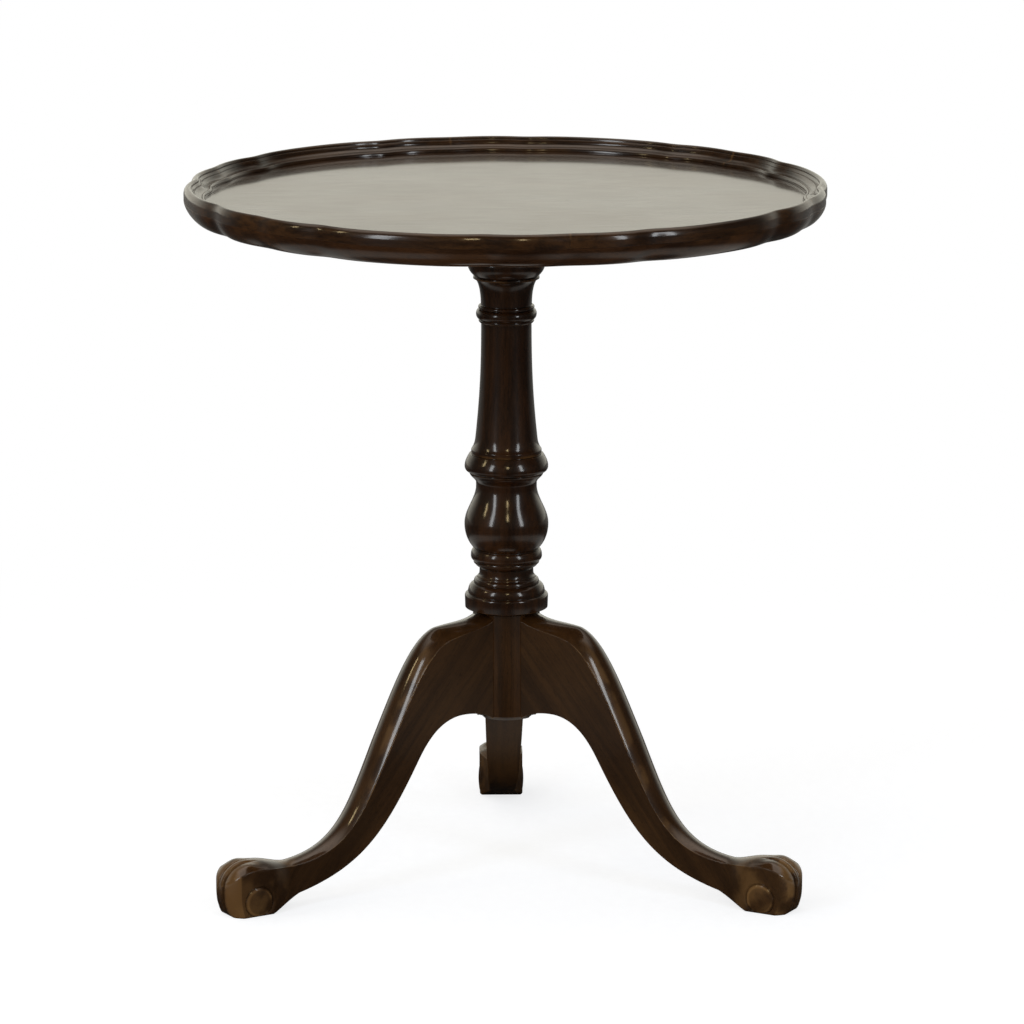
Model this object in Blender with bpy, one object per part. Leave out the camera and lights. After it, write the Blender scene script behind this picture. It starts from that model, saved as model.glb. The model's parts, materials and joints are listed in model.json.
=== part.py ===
"""Piecrust tilt-top table: a turned pillar on three cabriole legs, a tilting scalloped top and its catch.

Units are metres and +Z is up. The origin is on the floor, under the pillar's axis. The front is -Y,
between the left and right legs, and the top's back edge rises when it tilts.
"""

import math
from collections import namedtuple

import bmesh
import bpy
from mathutils import Matrix, Vector

# Gap between pieces that touch
TOUCH = 0.0003

# Scalloped top
TOP_RADIUS = 0.302
SCALLOP_COUNT = 6
SCALLOP_TURN = math.radians(39.8)
LONG_LOBE_ANGLE = math.radians(31.0)
PINCH_DEPTH = 0.0055
CUSP_DEPTH = 0.0036
SHORT_LOBE_DROP = 0.0010
BOARD_THICKNESS = 0.018
BOARD_EDGE_INSET = 0.0160

# Rim moulding, measured in from the scalloped edge and up from the board
RIM_HEIGHT = 0.0129
RIM_FACE_HEIGHT = 0.0060
RIM_CREST_INSET = 0.0050
RIM_CREST_WIDTH = 0.0048
RIM_QUIRK_DROP = 0.0039
RIM_COVE_WIDTH = 0.0066
RIM_COVE_FLOOR = 0.0028
RIM_BEAD_WIDTH = 0.0038

# Block, pins and bearers
BLOCK_WIDTH = 0.150
BLOCK_LENGTH = 0.150
BLOCK_THICKNESS = 0.030
PIVOT_DROP = 0.014
PIN_RADIUS = 0.005
PIN_BITE = 0.022
PIN_RECESS = 0.001
BEARER_GAP = 0.0005
BEARER_LENGTH = 0.340
BEARER_WIDTH = 0.026
BEARER_SKIN = 0.005
BEARER_END_DEPTH = 0.012
BEARER_TAPER = 0.050
BEARER_SCREW_SPACING = 0.100

# Pillar: hub, tenon and wedge
HUB_RADIUS = 0.032
HUB_CHAMFER = 0.003
HUB_NECK = 0.0012
HUB_CORE_RADIUS = 0.014
TENON_RADIUS = 0.019
TENON_SETBACK = 0.0005
WEDGE_WIDTH = 0.0020
WEDGE_TIP_WIDTH = 0.0010
WEDGE_DEPTH = 0.018

# Turned mouldings of the pillar, from the collar up: shape, rise and the radius that it ends at
Moulding = namedtuple("Moulding", "name shape rise radius")
COLLAR_FOOT_RADIUS = 0.0330
COLLAR_RADIUS = 0.0396
NECK_RADIUS = 0.0255
VASE_RADIUS = 0.0398
THROAT_RADIUS = 0.0288
RING_RADIUS = 0.0396
SHAFT_FOOT_RADIUS = 0.0292
SHAFT_RADIUS = 0.0238
CAPITAL_RADIUS = 0.0366
SHAFT_LENGTH = 0.1090
PILLAR_MOULDINGS = (
    Moulding("collar chamfer", "line", 0.0028, 0.0392),
    Moulding("collar band", "line", 0.0109, COLLAR_RADIUS),
    Moulding("collar edge", "rise first", 0.0026, 0.0376),
    Moulding("collar step", "fillet", 0.0014, 0.0365),
    Moulding("foot torus", "rise first", 0.0088, 0.0310),
    Moulding("foot ring", "rise first", 0.0044, 0.0292),
    Moulding("foot cove", "swing first", 0.0071, NECK_RADIUS),
    Moulding("neck", "line", 0.0032, NECK_RADIUS),
    Moulding("vase cup", "line", 0.0041, 0.0298),
    Moulding("vase fillet", "fillet", 0.0034, 0.0309),
    Moulding("vase ring, lower", "swing first", 0.0039, 0.0338),
    Moulding("vase ring, upper", "rise first", 0.0075, 0.0309),
    Moulding("vase belly", "swing first", 0.0239, VASE_RADIUS),
    Moulding("vase shoulder", "ogee", 0.0365, THROAT_RADIUS),
    Moulding("throat", "line", 0.0030, THROAT_RADIUS),
    Moulding("throat cove", "ogee", 0.0106, 0.0353),
    Moulding("great ring, lower", "swing first", 0.0050, RING_RADIUS),
    Moulding("great ring, upper", "rise first", 0.0122, 0.0352),
    Moulding("shaft fillet", "fillet", 0.0044, 0.0333),
    Moulding("shaft spring", "swing first", 0.0128, SHAFT_FOOT_RADIUS),
    Moulding("shaft", "taper", SHAFT_LENGTH, SHAFT_RADIUS),
    Moulding("bead ring, lower", "fillet", 0.0034, 0.0260),
    Moulding("bead", "bead", 0.0096, 0.0285),
    Moulding("bead ring, upper", "fillet", 0.0036, 0.0263),
    Moulding("capital neck", "fillet", 0.0010, 0.0241),
    Moulding("capital cove", "rise first", 0.0243, 0.0309),
    Moulding("capital fillet", "fillet", 0.0025, 0.0311),
    Moulding("capital ovolo", "swing first", 0.0119, CAPITAL_RADIUS),
    Moulding("capital top", "rise first", 0.0077, 0.0335),
    Moulding("capital disc", "fillet", 0.0067, 0.0350),
)

# Legs: height and reach of each point of the side outline, and the thickness there
LEG_AZIMUTHS = {"leg_back": 90.0, "leg_left": 210.0, "leg_right": 330.0}
LEG_ROOT_TOP = 0.251
LEG_ROOT_BOTTOM = 0.158
LEG_ROOT_THICKNESS = 0.038
ROOT_CROWN = 0.004
KNEE_REACH = 0.075
KNEE_HEIGHT = 0.237
KNEE_THICKNESS = 0.0365
KNEE_CROWN = 0.0074
ARCH_REACH = 0.056
ARCH_HEIGHT = 0.1667
SHIN_REACH = 0.138
SHIN_HEIGHT = 0.141
SHIN_THICKNESS = 0.032
SHIN_CROWN = 0.005
CALF_REACH = 0.110
CALF_HEIGHT = 0.122
ANKLE_REACH = 0.240
ANKLE_HEIGHT = 0.041
ANKLE_THICKNESS = 0.024
ANKLE_CROWN = 0.002
HEEL_REACH = 0.234
HEEL_HEIGHT = 0.0139
TONGUE_NECK = 0.014
TONGUE_TIP = 0.018
TONGUE_SHOULDER = 0.014

# Ball-and-claw foot
FOOT_WIDTH = 0.043
FOOT_REACH = 0.3075
KNUCKLE_REACH = 0.284
KNUCKLE_HEIGHT = 0.050
FOOT_HEEL_REACH = 0.266
TOE_RADIUS = 0.026
TOE_LIFT = 0.006
TOE_GROOVE = 0.002
BALL_SWELL = 0.001

# Spring catch under the top, behind the block
PLATE_WIDTH = 0.056
PLATE_LENGTH = 0.044
PLATE_THICKNESS = 0.0018
CASE_WIDTH = 0.026
CASE_LENGTH = 0.040
CASE_WALL = 0.0015
BOLT_WIDTH = 0.012
BOLT_THICKNESS = 0.006
BOLT_DROP = 0.009
BOLT_THROW = 0.008
BOLT_TAIL = 0.016
BOLT_BEVEL = 0.004
BOLT_CLEARANCE = 0.0004
SWING_CLEARANCE = 0.0006
KNOB_RADIUS = 0.0065
KNOB_HEIGHT = 0.012
KNOB_STEM_RADIUS = 0.002
KNOB_SETBACK = 0.008
SPRING_RADIUS = 0.0024
SPRING_WIRE_RADIUS = 0.00035
SPRING_TURNS = 6
KEEPER_WIDTH = 0.044
KEEPER_HEIGHT = 0.015
KEEPER_THICKNESS = 0.0016
KEEPER_SCREW_SPACING = 0.032

# Screws: head radius, shank radius and bite in the wood
BEARER_SCREW_HEAD = 0.0045
BEARER_SCREW_SHANK = 0.00225
BEARER_SCREW_BITE = 0.010
CATCH_SCREW_HEAD = 0.0028
CATCH_SCREW_SHANK = 0.0014
CATCH_SCREW_BITE = 0.010
CATCH_SCREW_MARGIN = 0.005
SCREW_SLOT = 0.0008

# Mesh fineness
TURN_STEPS = 24
PIN_STEPS = 16
SCREW_STEPS = 10
ARC_STEPS = 4
TURNED_ARC_STEPS = 3
LOBE_STEPS = 5
LEG_STEPS = (4, 6, 7)
FOOT_STEPS = 4
TOE_ANGLES = (22.0, 42.0, 60.0, 78.0)
TOE_SIDE_POWER = 0.7
SPRING_TURN_STEPS = 8
SPRING_WIRE_STEPS = 5

# Finishes: colour, roughness and metallic value
MAHOGANY = ((0.045, 0.020, 0.008), 0.25, 0.0)
DARK_MAHOGANY = ((0.020, 0.009, 0.004), 0.20, 0.0)
BARE_WOOD = ((0.100, 0.050, 0.025), 0.55, 0.0)
BRASS = ((0.60, 0.42, 0.16), 0.30, 1.0)
STEEL = ((0.30, 0.29, 0.28), 0.40, 1.0)


def clear_scene():
    """Remove every object of the scene."""
    for obj in list(bpy.data.objects):
        bpy.data.objects.remove(obj, do_unlink=True)


def make_material(name, finish):
    """Give a Principled material of one finish."""
    colour, roughness, metallic = finish
    material = bpy.data.materials.new(name)
    material.use_nodes = True
    shader = material.node_tree.nodes["Principled BSDF"]
    shader.inputs["Base Color"].default_value = (*colour, 1.0)
    shader.inputs["Roughness"].default_value = roughness
    shader.inputs["Metallic"].default_value = metallic
    return material


def add_empty(name, location):
    """Add the empty that a moving group hangs on, on its joint's axis."""
    empty = bpy.data.objects.new(name, None)
    empty.location = location
    bpy.context.scene.collection.objects.link(empty)
    return empty


def add_piece(name, mesh, finish, location=(0, 0, 0), rotation=(0, 0, 0), parent=None):
    """Add one sub-part with its own mesh and material, kept in place under its parent."""
    piece = bpy.data.objects.new(name, mesh)
    piece.location = location
    piece.rotation_euler = rotation
    mesh.name = name
    mesh.materials.clear()
    mesh.materials.append(make_material(name + "_finish", finish))
    mesh.shade_smooth()
    mesh.set_sharp_from_angle(angle=math.radians(35.0))
    bpy.context.scene.collection.objects.link(piece)
    if parent is not None:
        piece.parent = parent
        piece.matrix_parent_inverse = Matrix.Translation(parent.location).inverted()
    return piece


def add_cutter(name, mesh):
    """Add a shape that only cuts or joins other pieces."""
    cutter = bpy.data.objects.new(name, mesh)
    cutter.hide_render = True
    cutter.display_type = "WIRE"
    bpy.context.scene.collection.objects.link(cutter)
    return cutter


def combine(piece, cutter, operation="DIFFERENCE"):
    """Cut a piece with a cutter, or join the two."""
    boolean = piece.modifiers.new(cutter.name, "BOOLEAN")
    boolean.operation = operation
    boolean.solver = "EXACT"
    boolean.object = cutter


def frozen_mesh(piece):
    """Take a piece's finished mesh and remove the piece itself."""
    graph = bpy.context.evaluated_depsgraph_get()
    mesh = bpy.data.meshes.new_from_object(piece.evaluated_get(graph))
    bpy.data.objects.remove(piece, do_unlink=True)
    return mesh


def finish_mesh(name, shape):
    """Turn a closed bmesh into a mesh whose faces point out."""
    bmesh.ops.remove_doubles(shape, verts=shape.verts, dist=1e-6)
    bmesh.ops.recalc_face_normals(shape, faces=shape.faces)
    mesh = bpy.data.meshes.new(name)
    shape.to_mesh(mesh)
    shape.free()
    return mesh


def turned_mesh(name, profile, steps, places=(Matrix(),)):
    """Turn a profile of (radius, height) points about Z, once for each place."""
    shape = bmesh.new()
    for place in places:
        points = [shape.verts.new((radius, 0.0, height)) for radius, height in profile]
        edges = [shape.edges.new(pair) for pair in zip(points, points[1:])]
        before = set(shape.verts)
        bmesh.ops.spin(shape, geom=points + edges, cent=(0, 0, 0), axis=(0, 0, 1), dvec=(0, 0, 0),
                       angle=math.tau, steps=steps, use_merge=True)
        turned = [vert for vert in shape.verts if vert not in before] + points
        bmesh.ops.transform(shape, matrix=place, verts=turned)
    return finish_mesh(name, shape)


def lofted_mesh(name, rings):
    """Skin a row of rings that have the same count of points, with a flat cap at each end."""
    shape = bmesh.new()
    rows = [[shape.verts.new(point) for point in ring] for ring in rings]
    count = len(rows[0])
    for row, following in zip(rows, rows[1:]):
        for index in range(count):
            after = (index + 1) % count
            shape.faces.new((row[index], row[after], following[after], following[index]))
    shape.faces.new(rows[0])
    shape.faces.new(rows[-1])
    return finish_mesh(name, shape)


def prism_mesh(name, outlines):
    """Make one prism for each pair of (bottom outline, top outline)."""
    shape = bmesh.new()
    for bottom, top in outlines:
        lower = [shape.verts.new(point) for point in bottom]
        upper = [shape.verts.new(point) for point in top]
        shape.faces.new(lower)
        shape.faces.new(upper)
        count = len(lower)
        for index in range(count):
            after = (index + 1) % count
            shape.faces.new((lower[index], lower[after], upper[after], upper[index]))
    return finish_mesh(name, shape)


def box_mesh(name, *boxes):
    """Make one box for each pair of (low corner, high corner)."""
    outlines = []
    for low, high in boxes:
        corners = ((low[0], low[1]), (high[0], low[1]), (high[0], high[1]), (low[0], high[1]))
        outlines.append(([(x, y, low[2]) for x, y in corners], [(x, y, high[2]) for x, y in corners]))
    return prism_mesh(name, outlines)


def quarter(start, end, rise_first, steps=ARC_STEPS):
    """Give the points after start of a quarter ellipse, which leaves start upright or level."""
    points = []
    for step in range(1, steps + 1):
        angle = math.pi / 2 * step / steps
        if rise_first:
            points.append((end[0] + (start[0] - end[0]) * math.cos(angle),
                           start[1] + (end[1] - start[1]) * math.sin(angle)))
        else:
            points.append((start[0] + (end[0] - start[0]) * math.sin(angle),
                           end[1] + (start[1] - end[1]) * math.cos(angle)))
    return points


def bezier(start, start_angle, start_pull, end, end_angle, end_pull, steps):
    """Give the points after start of a cubic curve, set by its end angles and its pulls.

    The angles are in degrees, and a pull is a share of the straight line from start to end.
    """
    leave = math.radians(start_angle)
    arrive = math.radians(end_angle)
    out = start_pull * math.dist(start, end)
    back = end_pull * math.dist(start, end)
    second = (start[0] + out * math.cos(leave), start[1] + out * math.sin(leave))
    third = (end[0] - back * math.cos(arrive), end[1] - back * math.sin(arrive))
    points = []
    for step in range(1, steps + 1):
        t = step / steps
        s = 1.0 - t
        weights = (s**3, 3 * s * s * t, 3 * s * t * t, t**3)
        corners = (start, second, third, end)
        points.append(tuple(sum(weight * corner[axis] for weight, corner in zip(weights, corners))
                            for axis in (0, 1)))
    return points


def smooth(value):
    """Ease a value from 0 to 1."""
    value = min(max(value, 0.0), 1.0)
    return value * value * (3.0 - 2.0 * value)


def scallop_radius(angle):
    """Give the top's outline: one long lobe between two pairs of short ones, in each sixth."""
    period = math.tau / SCALLOP_COUNT
    turn = (angle - SCALLOP_TURN) % period
    from_cusp = min(turn, period - turn)
    short_span = (period - LONG_LOBE_ANGLE) / 2
    valley = TOP_RADIUS - PINCH_DEPTH
    short_top = TOP_RADIUS - SHORT_LOBE_DROP
    if from_cusp >= short_span:
        along = (period / 2 - from_cusp) / (LONG_LOBE_ANGLE / 2)
        return TOP_RADIUS - PINCH_DEPTH * along**4
    along = 1.0 - from_cusp / short_span
    if along < 0.5:
        return valley + (short_top - valley) * smooth(along / 0.5)
    return short_top - (CUSP_DEPTH - SHORT_LOBE_DROP) * ((along - 0.5) / 0.5) ** 2


def scallop_angles():
    """Give the angles of one scallop period, from cusp to cusp, with a point on each pinch."""
    period = math.tau / SCALLOP_COUNT
    short_span = (period - LONG_LOBE_ANGLE) / 2
    angles = [SCALLOP_TURN + short_span * step / LOBE_STEPS for step in range(LOBE_STEPS)]
    long_start = SCALLOP_TURN + short_span
    angles += [long_start + LONG_LOBE_ANGLE * step / (2 * LOBE_STEPS) for step in range(2 * LOBE_STEPS)]
    second_start = long_start + LONG_LOBE_ANGLE
    angles += [second_start + short_span * step / LOBE_STEPS for step in range(LOBE_STEPS + 1)]
    return angles


def around(angle, radius, height):
    """Give a point at an angle about the pillar's axis."""
    return (radius * math.cos(angle), radius * math.sin(angle), height)


def pillar_outline(start):
    """Give the outline of the mouldings, up from a start point on the collar's underside."""
    points = [start]
    for moulding in PILLAR_MOULDINGS:
        radius, height = points[-1]
        end = (moulding.radius, height + moulding.rise)
        if moulding.shape == "line":
            points.append(end)
        elif moulding.shape == "fillet":
            points += [(moulding.radius, height), end]
        elif moulding.shape == "rise first":
            points += quarter(points[-1], end, True, TURNED_ARC_STEPS)
        elif moulding.shape == "swing first":
            points += quarter(points[-1], end, False, TURNED_ARC_STEPS)
        elif moulding.shape == "bead":
            middle = (moulding.radius, height + moulding.rise / 2)
            points += quarter(points[-1], middle, False, TURNED_ARC_STEPS)
            points += quarter(middle, (radius, end[1]), True, TURNED_ARC_STEPS)
        elif moulding.shape == "ogee":
            points += bezier(points[-1], 90.0, 0.34, end, 90.0, 0.34, ARC_STEPS + 1)
        else:
            points += bezier(points[-1], 97.0, 0.33, end, 90.0, 0.42, ARC_STEPS + 2)
    return points


# Heights and places that follow from the sizes above
HUB_FLAT = math.sqrt(HUB_RADIUS**2 - (LEG_ROOT_THICKNESS / 2) ** 2)
HUB_BOTTOM = LEG_ROOT_BOTTOM - TOUCH
SEAT_TOP = LEG_ROOT_TOP + ROOT_CROWN + TOUCH
COLLAR_BOTTOM = SEAT_TOP + HUB_NECK
PILLAR_OUTLINE = pillar_outline((COLLAR_FOOT_RADIUS, COLLAR_BOTTOM))
PILLAR_SHOULDER = PILLAR_OUTLINE[-1][1]
BLOCK_BOTTOM = PILLAR_SHOULDER + TOUCH
BLOCK_TOP = BLOCK_BOTTOM + BLOCK_THICKNESS
BOARD_BOTTOM = BLOCK_TOP + TOUCH
BOARD_TOP = BOARD_BOTTOM + BOARD_THICKNESS
NOSE_RADIUS = PIVOT_DROP - TOUCH
BLOCK_FRONT = -BLOCK_LENGTH / 2
BLOCK_BACK = BLOCK_LENGTH / 2
PIVOT = Vector((0.0, BLOCK_FRONT + NOSE_RADIUS, BOARD_BOTTOM - PIVOT_DROP))
BEARER_TOP = BOARD_BOTTOM - TOUCH
BEARER_BOTTOM = PIVOT.z - PIN_RADIUS - BEARER_SKIN
BEARER_X = BLOCK_WIDTH / 2 + BEARER_GAP + BEARER_WIDTH / 2
BOLT_Z = BOARD_BOTTOM - BOLT_DROP
KEEPER_FRONT = BLOCK_BACK + TOUCH
KEEPER_BACK = KEEPER_FRONT + KEEPER_THICKNESS
KEEPER_TOP = BOLT_Z + KEEPER_HEIGHT / 2
KEEPER_SWING = math.hypot(KEEPER_BACK - PIVOT.y, KEEPER_TOP - PIVOT.z)
CASE_FRONT = PIVOT.y + KEEPER_SWING + SWING_CLEARANCE
CASE_BACK = CASE_FRONT + CASE_LENGTH
PLATE_TOP = BOARD_BOTTOM - TOUCH
PLATE_BOTTOM = PLATE_TOP - PLATE_THICKNESS
CASE_TOP = PLATE_BOTTOM - TOUCH
BOLT_TOP = BOLT_Z + BOLT_THICKNESS / 2
BOLT_BOTTOM = BOLT_Z - BOLT_THICKNESS / 2
CASE_BOTTOM = BOLT_BOTTOM - TOUCH - CASE_WALL
BOLT_NOSE = BLOCK_BACK - BOLT_THROW
BOLT_TRAVEL = CASE_FRONT - BOLT_NOSE
BOLT_BACK = CASE_FRONT + BOLT_TAIL
KNOB_Y = CASE_FRONT + KNOB_SETBACK


def screw_profile(head, shank, length, ease=0.0):
    """Give a countersunk screw's profile, head down at height 0, or its hole when eased."""
    cone = head - shank
    below = -2.0 * cone if ease else 0.0
    points = [(0.0, below), (head + ease, below)]
    if ease:
        points.append((head + ease, 0.0))
    points += [(head + ease, 0.15 * cone), (shank + ease, 1.15 * cone + ease)]
    points += [(shank + ease, length - shank + ease), (0.0, length + ease)]
    return points


def screw_mesh(name, head, shank, length):
    """Make one slotted screw."""
    master = bpy.data.objects.new(name, turned_mesh(name, screw_profile(head, shank, length), SCREW_STEPS))
    bpy.context.scene.collection.objects.link(master)
    slot_depth = 0.45 * (head - shank)
    low = (-2 * head, -SCREW_SLOT / 2, -slot_depth)
    high = (2 * head, SCREW_SLOT / 2, slot_depth)
    cutter = add_cutter(name + "_slot", box_mesh(name + "_slot", (low, high)))
    combine(master, cutter)
    mesh = frozen_mesh(master)
    bpy.data.objects.remove(cutter, do_unlink=True)
    return mesh


def add_screws(name, sizes, length, places, finish, parent=None):
    """Add one screw at each place, and give the cutter of their holes."""
    head, shank = sizes
    mesh = screw_mesh(name, head, shank, length)
    for index, place in enumerate(places):
        location, rotation, _ = place.decompose()
        add_piece(f"{name}_{index + 1}", mesh.copy(), finish, location, rotation.to_euler(), parent)
    holes = turned_mesh(name + "_holes", screw_profile(head, shank, length, TOUCH), SCREW_STEPS, places)
    return add_cutter(name + "_holes", holes)


def build_pillar():
    """Build the pillar with its hub, leg sockets and wedged tenon."""
    tenon_top = BLOCK_TOP - TENON_SETBACK
    profile = [(0.0, HUB_BOTTOM), (HUB_RADIUS - HUB_CHAMFER, HUB_BOTTOM)]
    profile += [(HUB_RADIUS, HUB_BOTTOM + HUB_CHAMFER), (HUB_RADIUS, COLLAR_BOTTOM)]
    profile += PILLAR_OUTLINE
    profile += [(TENON_RADIUS, PILLAR_SHOULDER), (TENON_RADIUS, tenon_top), (0.0, tenon_top)]
    pillar = add_piece("pillar", turned_mesh("pillar", profile, TURN_STEPS), DARK_MAHOGANY)

    beyond = 2 * HUB_CHAMFER
    seats = []
    sockets = []
    for azimuth in LEG_AZIMUTHS.values():
        turn = Matrix.Rotation(math.radians(azimuth), 4, "Z")
        half = LEG_ROOT_THICKNESS / 2 + beyond / 2
        outer = HUB_RADIUS + beyond
        seat = [(HUB_FLAT, -half), (outer, -half), (outer, half), (HUB_FLAT, half)]
        seats.append(tuple([turn @ Vector((*point, height)) for point in seat]
                           for height in (HUB_BOTTOM - beyond, SEAT_TOP)))
        socket = tongue_outline(TOUCH, HUB_FLAT + beyond)
        sockets.append(tuple([turn @ Vector((*point, height)) for point in socket]
                             for height in (HUB_BOTTOM - beyond, LEG_ROOT_TOP - TONGUE_SHOULDER + TOUCH)))
    combine(pillar, add_cutter("leg_seats", prism_mesh("leg_seats", seats)))
    combine(pillar, add_cutter("leg_sockets", prism_mesh("leg_sockets", sockets)))

    kerf_half = WEDGE_WIDTH / 2 + TOUCH
    kerf = box_mesh("kerf", ((-kerf_half, -2 * TENON_RADIUS, tenon_top - WEDGE_DEPTH),
                             (kerf_half, 2 * TENON_RADIUS, tenon_top + WEDGE_DEPTH)))
    combine(pillar, add_cutter("kerf", kerf))

    reach = TENON_RADIUS * 0.9
    wide = WEDGE_WIDTH / 2
    tip = WEDGE_TIP_WIDTH / 2
    low = tenon_top - WEDGE_DEPTH + TOUCH
    corners = ((-1, -1), (1, -1), (1, 1), (-1, 1))
    bottom = [(x * tip, y * reach, low) for x, y in corners]
    top = [(x * wide, y * reach, tenon_top) for x, y in corners]
    add_piece("tenon_wedge", prism_mesh("tenon_wedge", [(bottom, top)]), BARE_WOOD)


def tongue_outline(ease, outer):
    """Give the plan of a leg's dovetail tongue, or of its socket when eased."""
    slope = (TONGUE_TIP - TONGUE_NECK) / 2 / (HUB_FLAT - HUB_CORE_RADIUS)
    tip = TONGUE_TIP / 2 + ease
    neck = tip - slope * (outer - HUB_CORE_RADIUS)
    inner = HUB_CORE_RADIUS - ease
    return [(inner, -tip), (outer, -neck), (outer, neck), (inner, tip)]


def leg_ring(top, bottom, half, crown, groove=0.0, swell=0.0):
    """Give one section of a leg: a crowned top with two grooves, flat sides and a flat underside."""
    upper = Vector(top)
    lower = Vector(bottom)
    up = (upper - lower).normalized()
    ring = []
    for share in (1.0, 0.75, 0.45, 0.2, 0.0, -0.2, -0.45, -0.75, -1.0):
        dip = groove if abs(share) == 0.45 else 0.0
        point = upper + up * (crown * (1.0 - share * share) - dip)
        ring.append((point.x, half * share, point.y))
    sides = [upper.lerp(lower, share) for share in (0.33, 0.67)]
    ring += [(point.x, -half - swell, point.y) for point in sides]
    ring += [(lower.x, -half, lower.y), (lower.x, 0.0, lower.y), (lower.x, half, lower.y)]
    ring += [(point.x, half + swell, point.y) for point in reversed(sides)]
    return ring


def along_leg(*values):
    """Give a value for each section from root to ankle, from those at the root, knee, shin and ankle."""
    row = [values[0]]
    for value, following, span in zip(values, values[1:], LEG_STEPS):
        row += [value + (following - value) * step / span for step in range(1, span + 1)]
    return row


def leg_rings():
    """Give the leg's sections, from its shoulder on the hub to the front of its toes."""
    shoulder = HUB_FLAT + TOUCH
    upper = [(shoulder, LEG_ROOT_TOP)]
    to_knee, to_shin, to_ankle = LEG_STEPS
    upper += bezier(upper[0], -25.0, 0.39, (KNEE_REACH, KNEE_HEIGHT), -22.0, 0.31, to_knee)
    upper += bezier(upper[-1], -22.0, 0.22, (SHIN_REACH, SHIN_HEIGHT), -64.0, 0.39, to_shin)
    upper += bezier(upper[-1], -64.0, 0.44, (ANKLE_REACH, ANKLE_HEIGHT), -5.0, 0.36, to_ankle)
    lower = [(shoulder, LEG_ROOT_BOTTOM)]
    lower += bezier(lower[0], 28.0, 0.32, (ARCH_REACH, ARCH_HEIGHT), 0.0, 0.385, to_knee)
    lower += bezier(lower[-1], 0.0, 0.43, (CALF_REACH, CALF_HEIGHT), -61.0, 0.285, to_shin)
    lower += bezier(lower[-1], -61.0, 0.304, (HEEL_REACH, HEEL_HEIGHT), -14.0, 0.365, to_ankle)

    widths = along_leg(LEG_ROOT_THICKNESS, KNEE_THICKNESS, SHIN_THICKNESS, ANKLE_THICKNESS)
    crowns = along_leg(ROOT_CROWN, KNEE_CROWN, SHIN_CROWN, ANKLE_CROWN)
    rings = [leg_ring(top, bottom, width / 2, crown)
             for top, bottom, width, crown in zip(upper, lower, widths, crowns)]

    knuckle = (KNUCKLE_REACH, KNUCKLE_HEIGHT)
    tops = bezier(upper[-1], 0.0, 0.334, knuckle, 0.0, 0.40, FOOT_STEPS)
    soles = bezier(lower[-1], -24.0, 0.344, (FOOT_HEEL_REACH, 0.0), -20.0, 0.172, FOOT_STEPS - 1)
    soles.append((KNUCKLE_REACH, 0.0))
    for index, (top, sole) in enumerate(zip(tops, soles)):
        share = smooth((index + 1) / FOOT_STEPS)
        half = (ANKLE_THICKNESS + (FOOT_WIDTH - ANKLE_THICKNESS) * share) / 2
        rings.append(leg_ring(top, sole, half, ANKLE_CROWN, TOE_GROOVE * share, BALL_SWELL * share))

    middle = KNUCKLE_HEIGHT / 2
    toe_centre = FOOT_REACH - TOE_RADIUS
    for angle in TOE_ANGLES:
        forward = KNUCKLE_REACH + (FOOT_REACH - KNUCKLE_REACH) * math.sin(math.radians(angle))
        half = min(FOOT_WIDTH / 2, math.sqrt(TOE_RADIUS**2 - (forward - toe_centre) ** 2))
        spread = math.cos(math.radians(angle)) ** TOE_SIDE_POWER
        sole = max(0.0, TOE_LIFT * (1.0 - 1.15 * spread))
        rings.append(leg_ring((forward, middle + middle * spread), (forward, sole), half,
                              ANKLE_CROWN, TOE_GROOVE))
    return rings


def build_legs():
    """Build one leg with its foot and dovetail tongue, and set three of them round the hub."""
    master = bpy.data.objects.new("leg", lofted_mesh("leg", leg_rings()))
    bpy.context.scene.collection.objects.link(master)
    tongue = tongue_outline(0.0, HUB_FLAT + 2 * HUB_CHAMFER)
    heights = (LEG_ROOT_BOTTOM + 4 * TOUCH, LEG_ROOT_TOP - TONGUE_SHOULDER)
    outline = tuple([(*point, height) for point in tongue] for height in heights)
    cutter = add_cutter("leg_tongue", prism_mesh("leg_tongue", [outline]))
    combine(master, cutter, "UNION")
    mesh = frozen_mesh(master)
    bpy.data.objects.remove(cutter, do_unlink=True)
    for name, azimuth in LEG_AZIMUTHS.items():
        add_piece(name, mesh.copy(), MAHOGANY, rotation=(0, 0, math.radians(azimuth)))


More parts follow.
